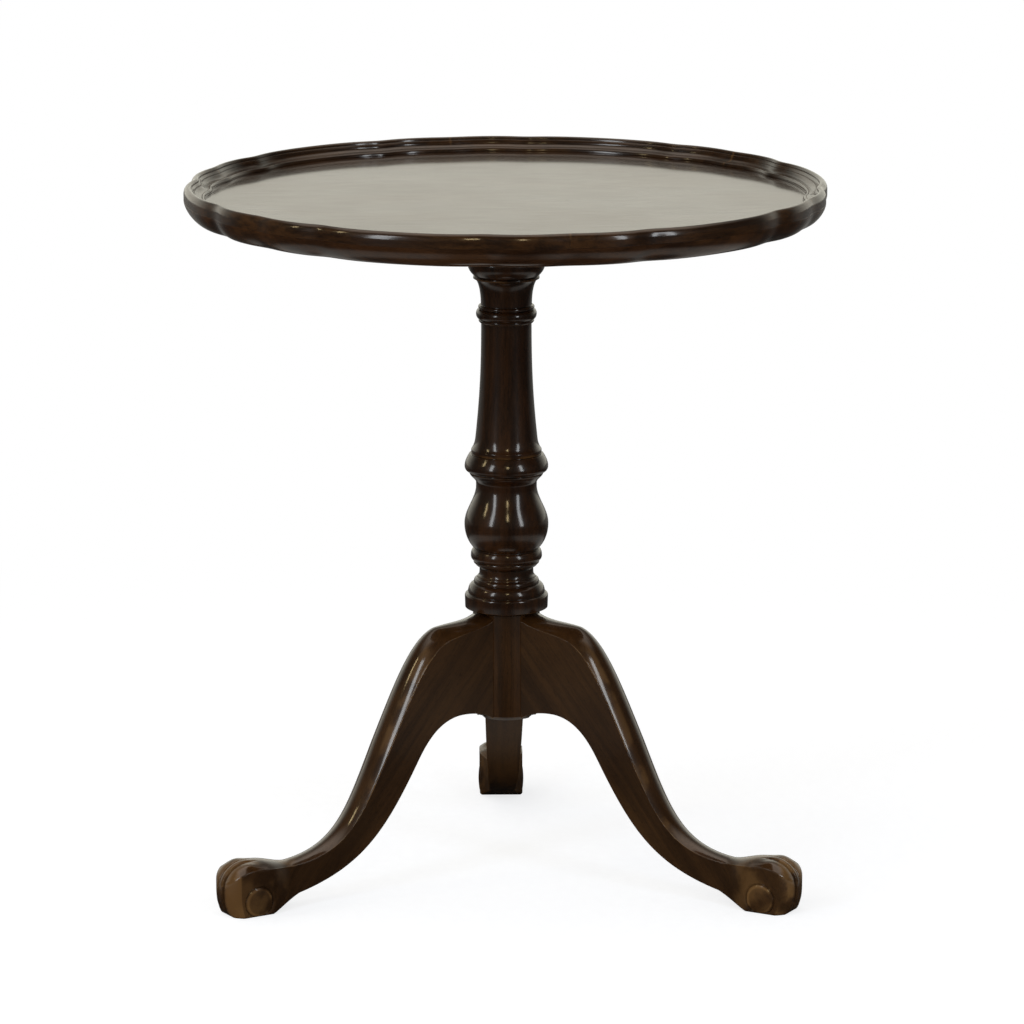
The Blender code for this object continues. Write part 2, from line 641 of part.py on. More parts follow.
def build_block():
    """Build the block on the pillar, with its rounded pivot edge, and the two pivot pins."""
    outline = [(BLOCK_FRONT, BLOCK_BOTTOM), (BLOCK_BACK, BLOCK_BOTTOM)]
    outline += [(BLOCK_BACK, BLOCK_TOP), (PIVOT.y, BLOCK_TOP)]
    outline += quarter((PIVOT.y, BLOCK_TOP), (BLOCK_FRONT, PIVOT.z), False, 2 * ARC_STEPS)
    sides = tuple([(x, y, z) for y, z in outline] for x in (-BLOCK_WIDTH / 2, BLOCK_WIDTH / 2))
    block = add_piece("tilt_block", prism_mesh("tilt_block", [sides]), BARE_WOOD)

    hole = TENON_RADIUS + TOUCH
    tenon_hole = [(0.0, BLOCK_BOTTOM - hole), (hole, BLOCK_BOTTOM - hole), (hole, BLOCK_TOP + hole),
                  (0.0, BLOCK_TOP + hole)]
    combine(block, add_cutter("tenon_hole", turned_mesh("tenon_hole", tenon_hole, TURN_STEPS)))

    nose_half = BOLT_WIDTH / 2 + BOLT_CLEARANCE
    deep = BOLT_NOSE - BOLT_CLEARANCE
    mortise = box_mesh("bolt_mortise", ((-nose_half, deep, BOLT_BOTTOM - BOLT_CLEARANCE),
                                        (nose_half, KEEPER_BACK + nose_half, BOLT_TOP + BOLT_CLEARANCE)))
    combine(block, add_cutter("bolt_mortise", mortise))

    inner = BLOCK_WIDTH / 2 - PIN_BITE
    outer = BLOCK_WIDTH / 2 + BEARER_GAP + BEARER_WIDTH - PIN_RECESS
    along_x = Matrix.Rotation(math.pi / 2, 4, "Y")
    pin_profile = [(0.0, inner), (PIN_RADIUS, inner), (PIN_RADIUS, outer), (0.0, outer)]
    hole = PIN_RADIUS + TOUCH
    hole_profile = [(0.0, inner - TOUCH), (hole, inner - TOUCH), (hole, outer + hole), (0.0, outer + hole)]
    places = []
    for name, turn in (("pivot_pin_right", 0.0), ("pivot_pin_left", math.pi)):
        place = Matrix.Rotation(turn, 4, "Z") @ along_x
        pin = turned_mesh(name, pin_profile, PIN_STEPS, (place,))
        add_piece(name, pin, STEEL, PIVOT)
        places.append(Matrix.Translation(PIVOT) @ place)
    pin_holes = add_cutter("pin_holes", turned_mesh("pin_holes", hole_profile, PIN_STEPS, places))
    combine(block, pin_holes)
    return block, pin_holes


def build_board(parent):
    """Build the scalloped board, with its edge rounded under."""
    angles = []
    for sixth in range(SCALLOP_COUNT):
        angles += [angle + math.tau / SCALLOP_COUNT * sixth for angle in scallop_angles()[:-1]]
    edge = [(0.0, BOARD_TOP)]
    edge += bezier(edge[0], -83.0, 0.326, (BOARD_EDGE_INSET, BOARD_BOTTOM), 0.0, 0.272, ARC_STEPS)
    rings = [[around(angle, scallop_radius(angle) - inset, height) for angle in angles]
             for inset, height in edge]
    return add_piece("top_board", lofted_mesh("top_board", rings), MAHOGANY, parent=parent)


def rim_section():
    """Give the rim's section: inset from the scalloped edge and height above the board."""
    crest = (RIM_CREST_INSET, RIM_HEIGHT)
    quirk = (crest[0] + RIM_CREST_WIDTH, RIM_HEIGHT - RIM_QUIRK_DROP)
    cove = (quirk[0] + RIM_COVE_WIDTH, RIM_COVE_FLOOR)
    bead = (cove[0] + RIM_BEAD_WIDTH, 0.0)
    section = [(0.0, 0.0), (0.0, RIM_FACE_HEIGHT)]
    section += quarter(section[-1], crest, True, ARC_STEPS - 1)
    section += quarter(crest, quirk, False, ARC_STEPS - 2)
    section += quarter(quirk, cove, True, ARC_STEPS - 1)
    section += quarter(cove, bead, False, ARC_STEPS - 2)
    return section


def build_rim(parent):
    """Build the rim's mitred segments, each from one cusp to the next."""
    section = rim_section()
    base = BOARD_TOP + TOUCH
    angles = scallop_angles()
    mitre = TOUCH / 2 / (TOP_RADIUS - section[-1][0])
    angles[0] += mitre
    angles[-1] -= mitre
    rings = [[around(angle, scallop_radius(angle) - inset, base + height) for inset, height in section]
             for angle in angles]
    mesh = lofted_mesh("rim_segment", rings)
    for sixth in range(SCALLOP_COUNT):
        turn = (0, 0, math.tau / SCALLOP_COUNT * sixth)
        add_piece(f"rim_segment_{sixth + 1}", mesh.copy(), MAHOGANY, rotation=turn, parent=parent)


def build_bearers(board, pin_holes, parent):
    """Build the two bearers, which turn on the pins, and screw them to the board."""
    half = BEARER_LENGTH / 2
    inner = half - BEARER_TAPER
    end_bottom = BEARER_TOP - BEARER_END_DEPTH
    outline = [(-half, end_bottom), (-inner, BEARER_BOTTOM), (inner, BEARER_BOTTOM), (half, end_bottom),
               (half, BEARER_TOP), (-half, BEARER_TOP)]
    places = []
    bearers = []
    recess = 2 * TOUCH
    for name, middle in (("bearer_right", BEARER_X), ("bearer_left", -BEARER_X)):
        sides = tuple([(middle + side * BEARER_WIDTH / 2, y, z) for y, z in outline] for side in (-1, 1))
        bearers.append(add_piece(name, prism_mesh(name, [sides]), BARE_WOOD, parent=parent))
        for step in (-1, 0, 1):
            places.append(Matrix.Translation((middle, step * BEARER_SCREW_SPACING, BEARER_BOTTOM + recess)))
    length = BOARD_BOTTOM - BEARER_BOTTOM + BEARER_SCREW_BITE
    sizes = (BEARER_SCREW_HEAD, BEARER_SCREW_SHANK)
    holes = add_screws("bearer_screw", sizes, length, places, STEEL, parent)
    for bearer in bearers:
        combine(bearer, pin_holes)
        combine(bearer, holes)
    combine(board, holes)


def build_catch(board, block, parent):
    """Build the spring catch under the board and its keeper on the block."""
    plate_back = CASE_FRONT + PLATE_LENGTH
    plate = box_mesh("catch_plate", ((-PLATE_WIDTH / 2, CASE_FRONT, PLATE_BOTTOM),
                                     (PLATE_WIDTH / 2, plate_back, PLATE_TOP)))
    plate = add_piece("catch_plate", plate, BRASS, parent=parent)
    places = []
    for x in (-1, 1):
        for y in (CASE_FRONT + CATCH_SCREW_MARGIN, plate_back - CATCH_SCREW_MARGIN):
            places.append(Matrix.Translation((x * (PLATE_WIDTH / 2 - CATCH_SCREW_MARGIN), y, PLATE_BOTTOM)))
    length = PLATE_TOP - PLATE_BOTTOM + CATCH_SCREW_BITE
    screw_sizes = (CATCH_SCREW_HEAD, CATCH_SCREW_SHANK)
    holes = add_screws("catch_screw", screw_sizes, length, places, BRASS, parent)
    combine(plate, holes)
    combine(board, holes)

    case = box_mesh("catch_case", ((-CASE_WIDTH / 2, CASE_FRONT, CASE_BOTTOM),
                                   (CASE_WIDTH / 2, CASE_BACK, CASE_TOP)))
    case = add_piece("catch_case", case, BRASS, parent=parent)
    inside = CASE_WIDTH / 2 - CASE_WALL
    hollow = box_mesh("case_hollow", ((-inside, CASE_FRONT + CASE_WALL, CASE_BOTTOM + CASE_WALL),
                                      (inside, CASE_BACK - CASE_WALL, BOARD_TOP)))
    combine(case, add_cutter("case_hollow", hollow))
    half = BOLT_WIDTH / 2 + BOLT_CLEARANCE
    mouth = box_mesh("case_mouth", ((-half, CASE_FRONT - CASE_WALL, BOLT_BOTTOM - TOUCH / 2),
                                    (half, CASE_FRONT + 2 * CASE_WALL, BOLT_TOP + BOLT_CLEARANCE)))
    combine(case, add_cutter("case_mouth", mouth))
    stem = KNOB_STEM_RADIUS + BOLT_CLEARANCE
    slot = box_mesh("case_slot", ((-stem, KNOB_Y - stem, CASE_BOTTOM - CASE_WALL),
                                  (stem, KNOB_Y + BOLT_TRAVEL + stem, BOLT_BOTTOM - TOUCH / 4)))
    combine(case, add_cutter("case_slot", slot))

    slide = add_empty("catch_slide", (0.0, KNOB_Y, BOLT_Z))
    slide.parent = parent
    slide.matrix_parent_inverse = Matrix.Translation(parent.location).inverted()
    outline = [(BOLT_NOSE, BOLT_TOP), (BOLT_NOSE, BOLT_BOTTOM + BOLT_BEVEL)]
    outline += [(BOLT_NOSE + BOLT_BEVEL, BOLT_BOTTOM), (BOLT_BACK, BOLT_BOTTOM), (BOLT_BACK, BOLT_TOP)]
    sides = tuple([(side * BOLT_WIDTH / 2, y, z) for y, z in outline] for side in (-1, 1))
    bolt = add_piece("catch_bolt", prism_mesh("catch_bolt", [sides]), BRASS, parent=slide)
    knob_top = BOLT_Z
    knob_bottom = CASE_BOTTOM - TOUCH - KNOB_HEIGHT
    knob_profile = [(0.0, knob_top), (KNOB_STEM_RADIUS, knob_top), (KNOB_STEM_RADIUS, CASE_BOTTOM - TOUCH)]
    knob_profile += quarter(knob_profile[-1], (KNOB_RADIUS, knob_bottom + KNOB_RADIUS / 2), True)
    knob_profile += quarter(knob_profile[-1], (0.0, knob_bottom), True)
    at_knob = Matrix.Translation((0.0, KNOB_Y, 0.0))
    knob = turned_mesh("catch_knob", knob_profile, PIN_STEPS, (at_knob,))
    add_piece("catch_knob", knob, BRASS, parent=slide)
    hole = KNOB_STEM_RADIUS + TOUCH
    hole_top = knob_top + TOUCH
    tapped = [(0.0, BOLT_BOTTOM - hole), (hole, BOLT_BOTTOM - hole), (hole, hole_top), (0.0, hole_top)]
    combine(bolt, add_cutter("knob_hole", turned_mesh("knob_hole", tapped, PIN_STEPS, (at_knob,))))

    add_piece("catch_spring", spring_mesh(), STEEL, parent=parent)

    keeper = box_mesh("keeper_plate", ((-KEEPER_WIDTH / 2, KEEPER_FRONT, KEEPER_TOP - KEEPER_HEIGHT),
                                       (KEEPER_WIDTH / 2, KEEPER_BACK, KEEPER_TOP)))
    keeper = add_piece("keeper_plate", keeper, BRASS)
    combine(keeper, bpy.data.objects["bolt_mortise"])
    into_block = Matrix.Rotation(math.pi / 2, 4, "X")
    places = [Matrix.Translation((side * KEEPER_SCREW_SPACING / 2, KEEPER_BACK, BOLT_Z)) @ into_block
              for side in (-1, 1)]
    length = KEEPER_BACK - BLOCK_BACK + CATCH_SCREW_BITE
    holes = add_screws("keeper_screw", screw_sizes, length, places, BRASS)
    combine(keeper, holes)
    combine(block, holes)


def spring_mesh():
    """Coil the spring between the bolt's tail and the case's back wall."""
    start = BOLT_BACK + SPRING_WIRE_RADIUS + TOUCH
    end = CASE_BACK - CASE_WALL - SPRING_WIRE_RADIUS - TOUCH
    count = SPRING_TURNS * SPRING_TURN_STEPS
    pitch = (end - start) / SPRING_TURNS
    climb = math.atan2(pitch, math.tau * SPRING_RADIUS)
    rings = []
    for index in range(count + 1):
        angle = math.tau * index / SPRING_TURN_STEPS
        out = Vector((math.cos(angle), 0.0, math.sin(angle)))
        level = Vector((-math.sin(angle), 0.0, math.cos(angle)))
        along = level * math.cos(climb) + Vector((0.0, math.sin(climb), 0.0))
        centre = out * SPRING_RADIUS + Vector((0.0, start + (end - start) * index / count, BOLT_Z))
        side = along.cross(out)
        ring = []
        for step in range(SPRING_WIRE_STEPS):
            around_wire = math.tau * step / SPRING_WIRE_STEPS
            away = out * math.cos(around_wire) + side * math.sin(around_wire)
            ring.append(centre + away * SPRING_WIRE_RADIUS)
        rings.append(ring)
    return lofted_mesh("catch_spring", rings)


def main():
    """Build the base, then the top and its catch on the tilt axis."""
    clear_scene()
    build_pillar()
    build_legs()
    block, pin_holes = build_block()
    tilt_axis = add_empty("tilt_axis", PIVOT)
    board = build_board(tilt_axis)
    build_rim(tilt_axis)
    build_bearers(board, pin_holes, tilt_axis)
    build_catch(board, block, tilt_axis)


main()
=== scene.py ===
"""Looks of a piecrust tilt-top table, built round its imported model.

Every piece of the table is modelled here at full detail and takes the place of its plain solid.
Lengths are in metres, +Z is up, the front is -Y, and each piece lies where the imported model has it.
"""

import json
import logging
import math
from collections.abc import Sequence
from dataclasses import dataclass
from enum import Enum

import bpy
import numpy as np
from mathutils import Matrix, Vector


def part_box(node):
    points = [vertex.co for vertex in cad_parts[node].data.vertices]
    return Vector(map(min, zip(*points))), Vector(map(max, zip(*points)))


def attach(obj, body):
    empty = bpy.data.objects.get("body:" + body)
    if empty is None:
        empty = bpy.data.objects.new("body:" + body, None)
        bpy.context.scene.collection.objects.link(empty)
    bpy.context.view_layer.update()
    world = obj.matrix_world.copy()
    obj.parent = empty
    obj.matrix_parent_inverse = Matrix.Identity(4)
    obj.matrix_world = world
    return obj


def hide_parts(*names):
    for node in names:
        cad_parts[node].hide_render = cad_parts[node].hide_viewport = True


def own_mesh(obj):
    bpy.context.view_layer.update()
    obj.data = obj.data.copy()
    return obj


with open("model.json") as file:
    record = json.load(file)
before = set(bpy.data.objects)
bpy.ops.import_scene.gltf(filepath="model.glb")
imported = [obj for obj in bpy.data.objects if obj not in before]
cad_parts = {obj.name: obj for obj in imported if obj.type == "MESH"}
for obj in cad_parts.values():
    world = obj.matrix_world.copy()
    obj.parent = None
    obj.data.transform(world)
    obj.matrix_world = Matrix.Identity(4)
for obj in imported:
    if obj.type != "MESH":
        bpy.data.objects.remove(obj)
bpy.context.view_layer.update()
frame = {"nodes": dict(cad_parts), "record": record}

LOG = logging.getLogger("table")

Point = tuple[float, float]
Colour = tuple[float, float, float]
Mesh = bpy.types.Mesh
Piece = bpy.types.Object
Material = bpy.types.Material
Socket = bpy.types.NodeSocket

# Names of the point attributes that the materials read
GRAIN = "grain"
WEAR = "wear"
GRIME_AND_SHADE = "grime_and_shade"

# Modelling limits: a point's start size, the distance at which points merge, and the smoothing angle
POINT_SIZE = 0.001
MERGE = 1e-6
SMOOTH_ANGLE = math.radians(38.0)

# Least divisors, which keep a length or its square from being zero
LEAST_LENGTH = 1e-12
LEAST_SQUARE = 1e-10

# Range that a soft noise mostly stays in
NOISE_RANGE = (0.3, 0.7)


class GrainRun(Enum):
    """Which way the grain runs in a piece, and the direction across it."""

    LEFT_RIGHT = ((1, 0, 0), (0, 1, 0))
    FRONT_BACK = ((0, 1, 0), (1, 0, 0))
    UPRIGHT = ((0, 0, 1), (1, 0, 0))


class Shape(Enum):
    """How a turned moulding gets from its start to its end."""

    LINE = "straight line"
    FILLET = "square step, then upright"
    RISE_FIRST = "quarter round that starts upright"
    SWING_FIRST = "quarter round that starts level"
    BEAD = "half round that comes back"
    OGEE = "double curve, upright at both ends"
    TAPER = "long slope that ends upright"
    CURVE = "free curve between two slopes"


def smooth(value: np.ndarray | float) -> np.ndarray:
    """Ease values from 0 to 1."""
    value = np.clip(value, 0.0, 1.0)
    return value * value * (3.0 - 2.0 * value)


def ease_between(low: float, high: float, value: np.ndarray | float) -> np.ndarray:
    """Ease from 0 at low to 1 at high."""
    return smooth((np.asarray(value) - low) / (high - low))


def heading(angle: float) -> np.ndarray:
    """Give the direction of an angle in degrees."""
    return np.array((math.cos(math.radians(angle)), math.sin(math.radians(angle))))


def bezier(
    start: Point, leave: float, out: float, end: Point, arrive: float, back: float, steps: int
) -> list[Point]:
    """Give the points after start of a cubic curve.

    Args:
        start: First point, which isn't repeated.
        leave: Direction at the start, in degrees.
        out: Pull at the start, as a share of the straight line to the end.
        end: Last point.
        arrive: Direction at the end, in degrees.
        back: Pull at the end, as a share of the straight line.
        steps: Count of points.

    Returns:
        The points, in order.
    """
    chord = math.dist(start, end)
    first = np.array(start)
    last = np.array(end)
    second = first + out * chord * heading(leave)
    third = last - back * chord * heading(arrive)
    points = []
    for t in np.linspace(0.0, 1.0, steps + 1)[1:]:
        s = 1.0 - t
        point = s**3 * first + 3 * s * s * t * second + 3 * s * t * t * third + t**3 * last
        points.append((float(point[0]), float(point[1])))
    return points


class Outline:
    """A chain of points in a plane, drawn with lines and curves."""

    # Points of a rounded corner, as shares of its length, and the most of a side that it takes
    CORNER_POINTS = (0.0, 0.33, 0.67, 1.0)
    CORNER_SHARE = 0.45

    def __init__(self, start: Point) -> None:
        """Start the chain at a point."""
        self.points: list[Point] = [start]

    def line(self, *ends: Point) -> "Outline":
        """Draw straight lines on to the points."""
        self.points.extend(ends)
        return self

    def quarter(self, end: Point, upright_first: bool, steps: int = 9) -> "Outline":
        """Draw a quarter ellipse.

        Args:
            end: Where the quarter ends.
            upright_first: Whether it leaves upright and arrives level, or the other way round.
            steps: Count of its points.

        Returns:
            The outline itself.
        """
        x0, y0 = self.points[-1]
        x1, y1 = end
        for angle in np.linspace(0.0, math.pi / 2, steps + 1)[1:]:
            far = math.sin(angle)
            near = 1.0 - math.cos(angle)
            across, along = (near, far) if upright_first else (far, near)
            self.points.append((x0 + (x1 - x0) * across, y0 + (y1 - y0) * along))
        return self

    def curve(
        self, leave: float, out: float, end: Point, arrive: float, back: float, steps: int = 16
    ) -> "Outline":
        """Draw a cubic curve, set as bezier says."""
        self.points += bezier(self.points[-1], leave, out, end, arrive, back, steps)
        return self

    def eased(self, radius: float, sharp: float = 22.0) -> list[Point]:
        """Give the points with every sharp corner rounded.

        Args:
            radius: How far from the corner the rounding starts.
            sharp: Turn, in degrees, above which a corner is rounded.

        Returns:
            The new points.
        """
        points = [np.array(point) for point in self.points]
        rounded = [points[0]]
        for before, corner, after in zip(points, points[1:], points[2:]):
            to_corner = corner - before
            away = after - corner
            lengths = (np.linalg.norm(to_corner), np.linalg.norm(away))
            cosine = float(to_corner @ away) / max(lengths[0] * lengths[1], LEAST_LENGTH)
            if cosine > math.cos(math.radians(sharp)):
                rounded.append(corner)
                continue
            reach = min(radius, self.CORNER_SHARE * lengths[0], self.CORNER_SHARE * lengths[1])
            first = corner - to_corner / lengths[0] * reach
            last = corner + away / lengths[1] * reach
            for t in self.CORNER_POINTS:
                rounded.append((1 - t) ** 2 * first + 2 * t * (1 - t) * corner + t * t * last)
        rounded.append(points[-1])
        return [(float(point[0]), float(point[1])) for point in rounded]


class Bench:
    """Modelling steps that several pieces share, done with Blender's own operators."""

    # Angle under which triangles merge to a flat face, and the angle and segments of a rounded edge
    FLAT_ANGLE = math.radians(2.0)
    EDGE_ANGLE = math.radians(30.0)
    EDGE_SEGMENTS = 3

    @staticmethod
    def clear_selection() -> None:
        """Leave every object deselected, in object mode."""
        if bpy.context.mode != "OBJECT":
            bpy.ops.object.mode_set(mode="OBJECT")
        bpy.ops.object.select_all(action="DESELECT")

    @staticmethod
    def pick(piece: Piece) -> None:
        """Make a piece the only one selected, and active."""
        Bench.clear_selection()
        piece.select_set(True)
        bpy.context.view_layer.objects.active = piece

    @staticmethod
    def name(piece: Piece, name: str) -> Piece:
        """Name a piece and its mesh alike."""
        piece.name = name
        piece.data.name = name
        return piece

    @staticmethod
    def draw_chain(name: str, points: Sequence[Vector]) -> Piece:
        """Draw a chain of edges by extruding one point onwards, and stay in edit mode.

        Args:
            name: Name of the new piece.
            points: Places of the chain's points, in order.

        Returns:
            The piece, with all of the chain selected.
        """
        Bench.clear_selection()
        bpy.ops.mesh.primitive_plane_add(size=POINT_SIZE, location=(0, 0, 0))
        piece = Bench.name(bpy.context.active_object, name)
        bpy.ops.object.mode_set(mode="EDIT")
        bpy.ops.mesh.merge(type="CENTER")
        bpy.ops.transform.translate(value=points[0])
        for before, after in zip(points, points[1:]):
            bpy.ops.mesh.extrude_vertices_move(TRANSFORM_OT_translate={"value": after - before})
        bpy.ops.mesh.select_all(action="SELECT")
        return piece

    @staticmethod
    def close_mesh(piece: Piece, fill: bool = False) -> Piece:
        """Merge doubles, fill open ends if asked, and point all faces outwards."""
        Bench.pick(piece)
        bpy.ops.object.mode_set(mode="EDIT")
        bpy.ops.mesh.select_all(action="SELECT")
        bpy.ops.mesh.remove_doubles(threshold=MERGE)
        if fill:
            bpy.ops.mesh.select_all(action="SELECT")
            bpy.ops.mesh.fill_holes(sides=0)
        bpy.ops.mesh.select_all(action="SELECT")
        bpy.ops.mesh.normals_make_consistent(inside=False)
        bpy.ops.object.mode_set(mode="OBJECT")
        return piece

    @staticmethod
    def turn(
        name: str, outline: Sequence[Point], steps: int, start: float = 0.0, sweep: float = math.tau
    ) -> Piece:
        """Turn an outline about the Z axis.

        Args:
            name: Name of the new piece.
            outline: Points of (radius, height).
            steps: Count of steps round the axis.
            start: Angle of the first outline, in radians.
            sweep: Angle turned, in radians.

        Returns:
            The turned piece.
        """
        chain = [Vector((r * math.cos(start), r * math.sin(start), z)) for r, z in outline]
        piece = Bench.draw_chain(name, chain)
        bpy.ops.mesh.remove_doubles(threshold=MERGE)
        bpy.ops.mesh.spin(steps=steps, angle=-sweep, center=(0, 0, 0), axis=(0, 0, 1))
        return Bench.close_mesh(piece, fill=sweep < math.tau)

    @staticmethod
    def block(name: str, low: Sequence[float], high: Sequence[float]) -> Piece:
        """Make a box between two corners, as a start for a cutter or a tongue."""
        Bench.clear_selection()
        bpy.ops.mesh.primitive_cube_add(size=1.0, location=(0, 0, 0))
        piece = Bench.name(bpy.context.active_object, name)
        bpy.ops.object.mode_set(mode="EDIT")
        bpy.ops.transform.resize(value=Vector(high) - Vector(low))
        bpy.ops.transform.translate(value=(Vector(high) + Vector(low)) / 2)
        bpy.ops.object.mode_set(mode="OBJECT")
        return piece

    @staticmethod
    def combine(piece: Piece, tool: Piece, operation: str = "DIFFERENCE") -> None:
        """Cut a piece with a tool, or join the two, and remove the tool."""
        Bench.pick(piece)
        modifier = piece.modifiers.new("shape", "BOOLEAN")
        modifier.operation = operation
        modifier.solver = "EXACT"
        modifier.object = tool
        bpy.ops.object.modifier_apply(modifier=modifier.name)
        bpy.data.objects.remove(tool, do_unlink=True)

    @staticmethod
    def eased_copy(node: str, width: float) -> Piece:
        """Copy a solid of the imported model, merge its triangles to flat faces and round its edges.

        Args:
            node: Name of the solid.
            width: Width of the rounding.

        Returns:
            The new piece.
        """
        piece = bpy.data.objects.new(f"{node}_detail", frame["nodes"][node].data.copy())
        bpy.context.scene.collection.objects.link(piece)
        Bench.name(piece, piece.name)
        Bench.pick(piece)
        bpy.ops.object.mode_set(mode="EDIT")
        bpy.ops.mesh.select_all(action="SELECT")
        bpy.ops.mesh.remove_doubles(threshold=MERGE)
        bpy.ops.mesh.dissolve_limited(angle_limit=Bench.FLAT_ANGLE)
        bpy.ops.object.mode_set(mode="OBJECT")
        modifier = piece.modifiers.new("ease", "BEVEL")
        modifier.width = width
        modifier.segments = Bench.EDGE_SEGMENTS
        modifier.limit_method = "ANGLE"
        modifier.angle_limit = Bench.EDGE_ANGLE
        bpy.ops.object.modifier_apply(modifier=modifier.name)
        return piece

    @staticmethod
    def copy(piece: Piece, name: str, place: Matrix) -> Piece:
        """Copy a piece with its own mesh, and put the mesh in place."""
        twin = bpy.data.objects.new(name, piece.data.copy())
        bpy.context.scene.collection.objects.link(twin)
        twin.data.transform(place)
        return Bench.name(twin, name)

    @staticmethod
    def soften(piece: Piece) -> None:
        """Shade a piece smooth, except over its sharp edges."""
        Bench.pick(piece)
        bpy.ops.object.shade_smooth_by_angle(angle=SMOOTH_ANGLE)


class Surface:
    """Reads and writes a mesh's points and the values that its material needs at each of them."""

    # Curvatures, in 1/m, at which an edge starts to wear and is worn through
    WEAR_RANGE = (250.0, 1300.0)
    # The same for grime and painted shade in a hollow
    GRIME_AND_SHADE_RANGE = (150.0, 900.0)
    # How a piece's shift in its plank is shared out along and across the grain
    PLANK_SHIFT = (1.0, 0.37, 0.61)

    def __init__(self, piece: Piece) -> None:
        """Take a piece's mesh."""
        self.mesh: Mesh = piece.data

    def points(self) -> np.ndarray:
        """Give the mesh's points, one row each."""
        flat = np.empty(len(self.mesh.vertices) * 3, np.float32)
        self.mesh.vertices.foreach_get("co", flat)
        return flat.reshape(-1, 3).astype(float)

    def move_to(self, points: np.ndarray) -> None:
        """Move the mesh's points."""
        self.mesh.vertices.foreach_set("co", points.astype(np.float32).ravel())
        self.mesh.update()

    def normals(self) -> np.ndarray:
        """Give the normal at each point."""
        flat = np.empty(len(self.mesh.vertices) * 3, np.float32)
        self.mesh.vertex_normals.foreach_get("vector", flat)
        return flat.reshape(-1, 3).astype(float)

    def store(self, name: str, values: np.ndarray) -> None:
        """Keep a number or a vector for each point, as an attribute of the mesh."""
        kind, key = ("FLOAT_VECTOR", "vector") if values.ndim == 2 else ("FLOAT", "value")
        attribute = self.mesh.attributes.new(name, kind, "POINT")
        attribute.data.foreach_set(key, values.astype(np.float32).ravel())

    def store_grain(self, along: Sequence[float], across: Sequence[float], shift: float) -> None:
        """Keep each point's place in the plank that the piece was cut from.

        Args:
            along: Direction of the grain.
            across: Direction across the grain.
            shift: Place of the piece in its plank, so that no two pieces have the same figure.
        """
        first = np.array(Vector(along).normalized())
        second = np.array(Vector(across).normalized())
        axes = np.stack((first, second, np.cross(first, second)), axis=1)
        self.store(GRAIN, self.points() @ axes + shift * np.array(self.PLANK_SHIFT))

    def store_relief(self, extra_wear: np.ndarray | float = 0.0) -> None:
        """Keep how far each point's edge is worn, and how much grime and painted shade lie in its hollow.

        Args:
            extra_wear: Wear at each point besides that of the edges.
        """
        points = self.points()
        normals = self.normals()
        pairs = np.empty(len(self.mesh.edges) * 2, np.int32)
        self.mesh.edges.foreach_get("vertices", pairs)
        first, second = pairs.reshape(-1, 2).T
        step = points[second] - points[first]
        turn = normals[second] - normals[first]
        bend = (turn * step).sum(1) / np.maximum((step * step).sum(1), LEAST_SQUARE)
        total = np.zeros(len(points))
        count = np.zeros(len(points))
        for end in (first, second):
            np.add.at(total, end, bend)
            np.add.at(count, end, 1.0)
        curvature = total / np.maximum(count, 1.0)
        self.store(WEAR, np.clip(ease_between(*self.WEAR_RANGE, curvature) + extra_wear, 0.0, 1.0))
        # Concave places take grime and painted shade, which darken them
        self.store(GRIME_AND_SHADE, ease_between(*self.GRIME_AND_SHADE_RANGE, -curvature))


class Sketch:
    """Draws a shader node tree: adds nodes, sets their inputs and links them."""

    def __init__(self, tree: bpy.types.NodeTree) -> None:
        """Take the tree to draw in."""
        self.tree = tree

    def node(self, kind: str, inputs: dict | None = None, **settings: object) -> bpy.types.Node:
        """Add a node.

        Args:
            kind: Blender's type of the node, without its ShaderNode prefix.
            inputs: Value or source socket of each input, by the input's name or number.
            settings: Properties of the node itself.

        Returns:
            The new node.
        """
        node = self.tree.nodes.new("ShaderNode" + kind)
        for key, value in settings.items():
            setattr(node, key, value)
        for key, value in (inputs or {}).items():
            self.feed(node.inputs[key], value)
        return node

    def feed(self, socket: Socket, value: object) -> None:
        """Link a source socket to an input, or set the input's value."""
        if isinstance(value, Socket):
            self.tree.links.new(value, socket)
        else:
            socket.default_value = value

    def math(self, operation: str, *values: object, clamp: bool = False) -> Socket:
        """Work out one number from others."""
        node = self.node("Math", dict(enumerate(values)), operation=operation, use_clamp=clamp)
        return node.outputs[0]

    def spread(self, vector: Socket, scale: Sequence[float]) -> Socket:
        """Stretch a vector, each axis by its own scale."""
        return self.node("VectorMath", {0: vector, 1: scale}, operation="MULTIPLY").outputs[0]

    def noise(self, vector: Socket, scale: object, detail: float = 2.0) -> Socket:
        """Give a soft noise of about 0.3 to 0.7."""
        return self.node("TexNoise", {"Vector": vector, "Scale": scale, "Detail": detail}).outputs[0]

    def ease(self, value: Socket, low: float, high: float, start: float = 0.0, end: float = 1.0) -> Socket:
        """Ease a value from start at low to end at high."""
        inputs = {"Value": value, "From Min": low, "From Max": high, "To Min": start, "To Max": end}
        return self.node("MapRange", inputs, interpolation_type="SMOOTHSTEP").outputs[0]

    def mix(self, share: object, first: object, second: object, blend: str = "MIX") -> Socket:
        """Mix two colours."""
        inputs = {0: share, 6: first, 7: second}
        return self.node("Mix", inputs, data_type="RGBA", blend_type=blend).outputs[2]

    def by_ray(self, lighting: Socket, mirrored: Socket, seen: Socket) -> Socket:
        """Choose a shader by what asks for it.

        Args:
            lighting: Shader that lights the table.
            mirrored: Shader that polish and glass show.
            seen: Shader that the camera sees.

        Returns:
            The chosen shader.
        """
        path = self.node("LightPath").outputs
        shiny = self.math("MAXIMUM", path["Is Glossy Ray"], path["Is Transmission Ray"])
        other = self.node("MixShader", {0: shiny, 1: lighting, 2: mirrored})
        shown = self.node("MixShader", {0: path["Is Camera Ray"], 1: other.outputs[0], 2: seen})
        return shown.outputs[0]


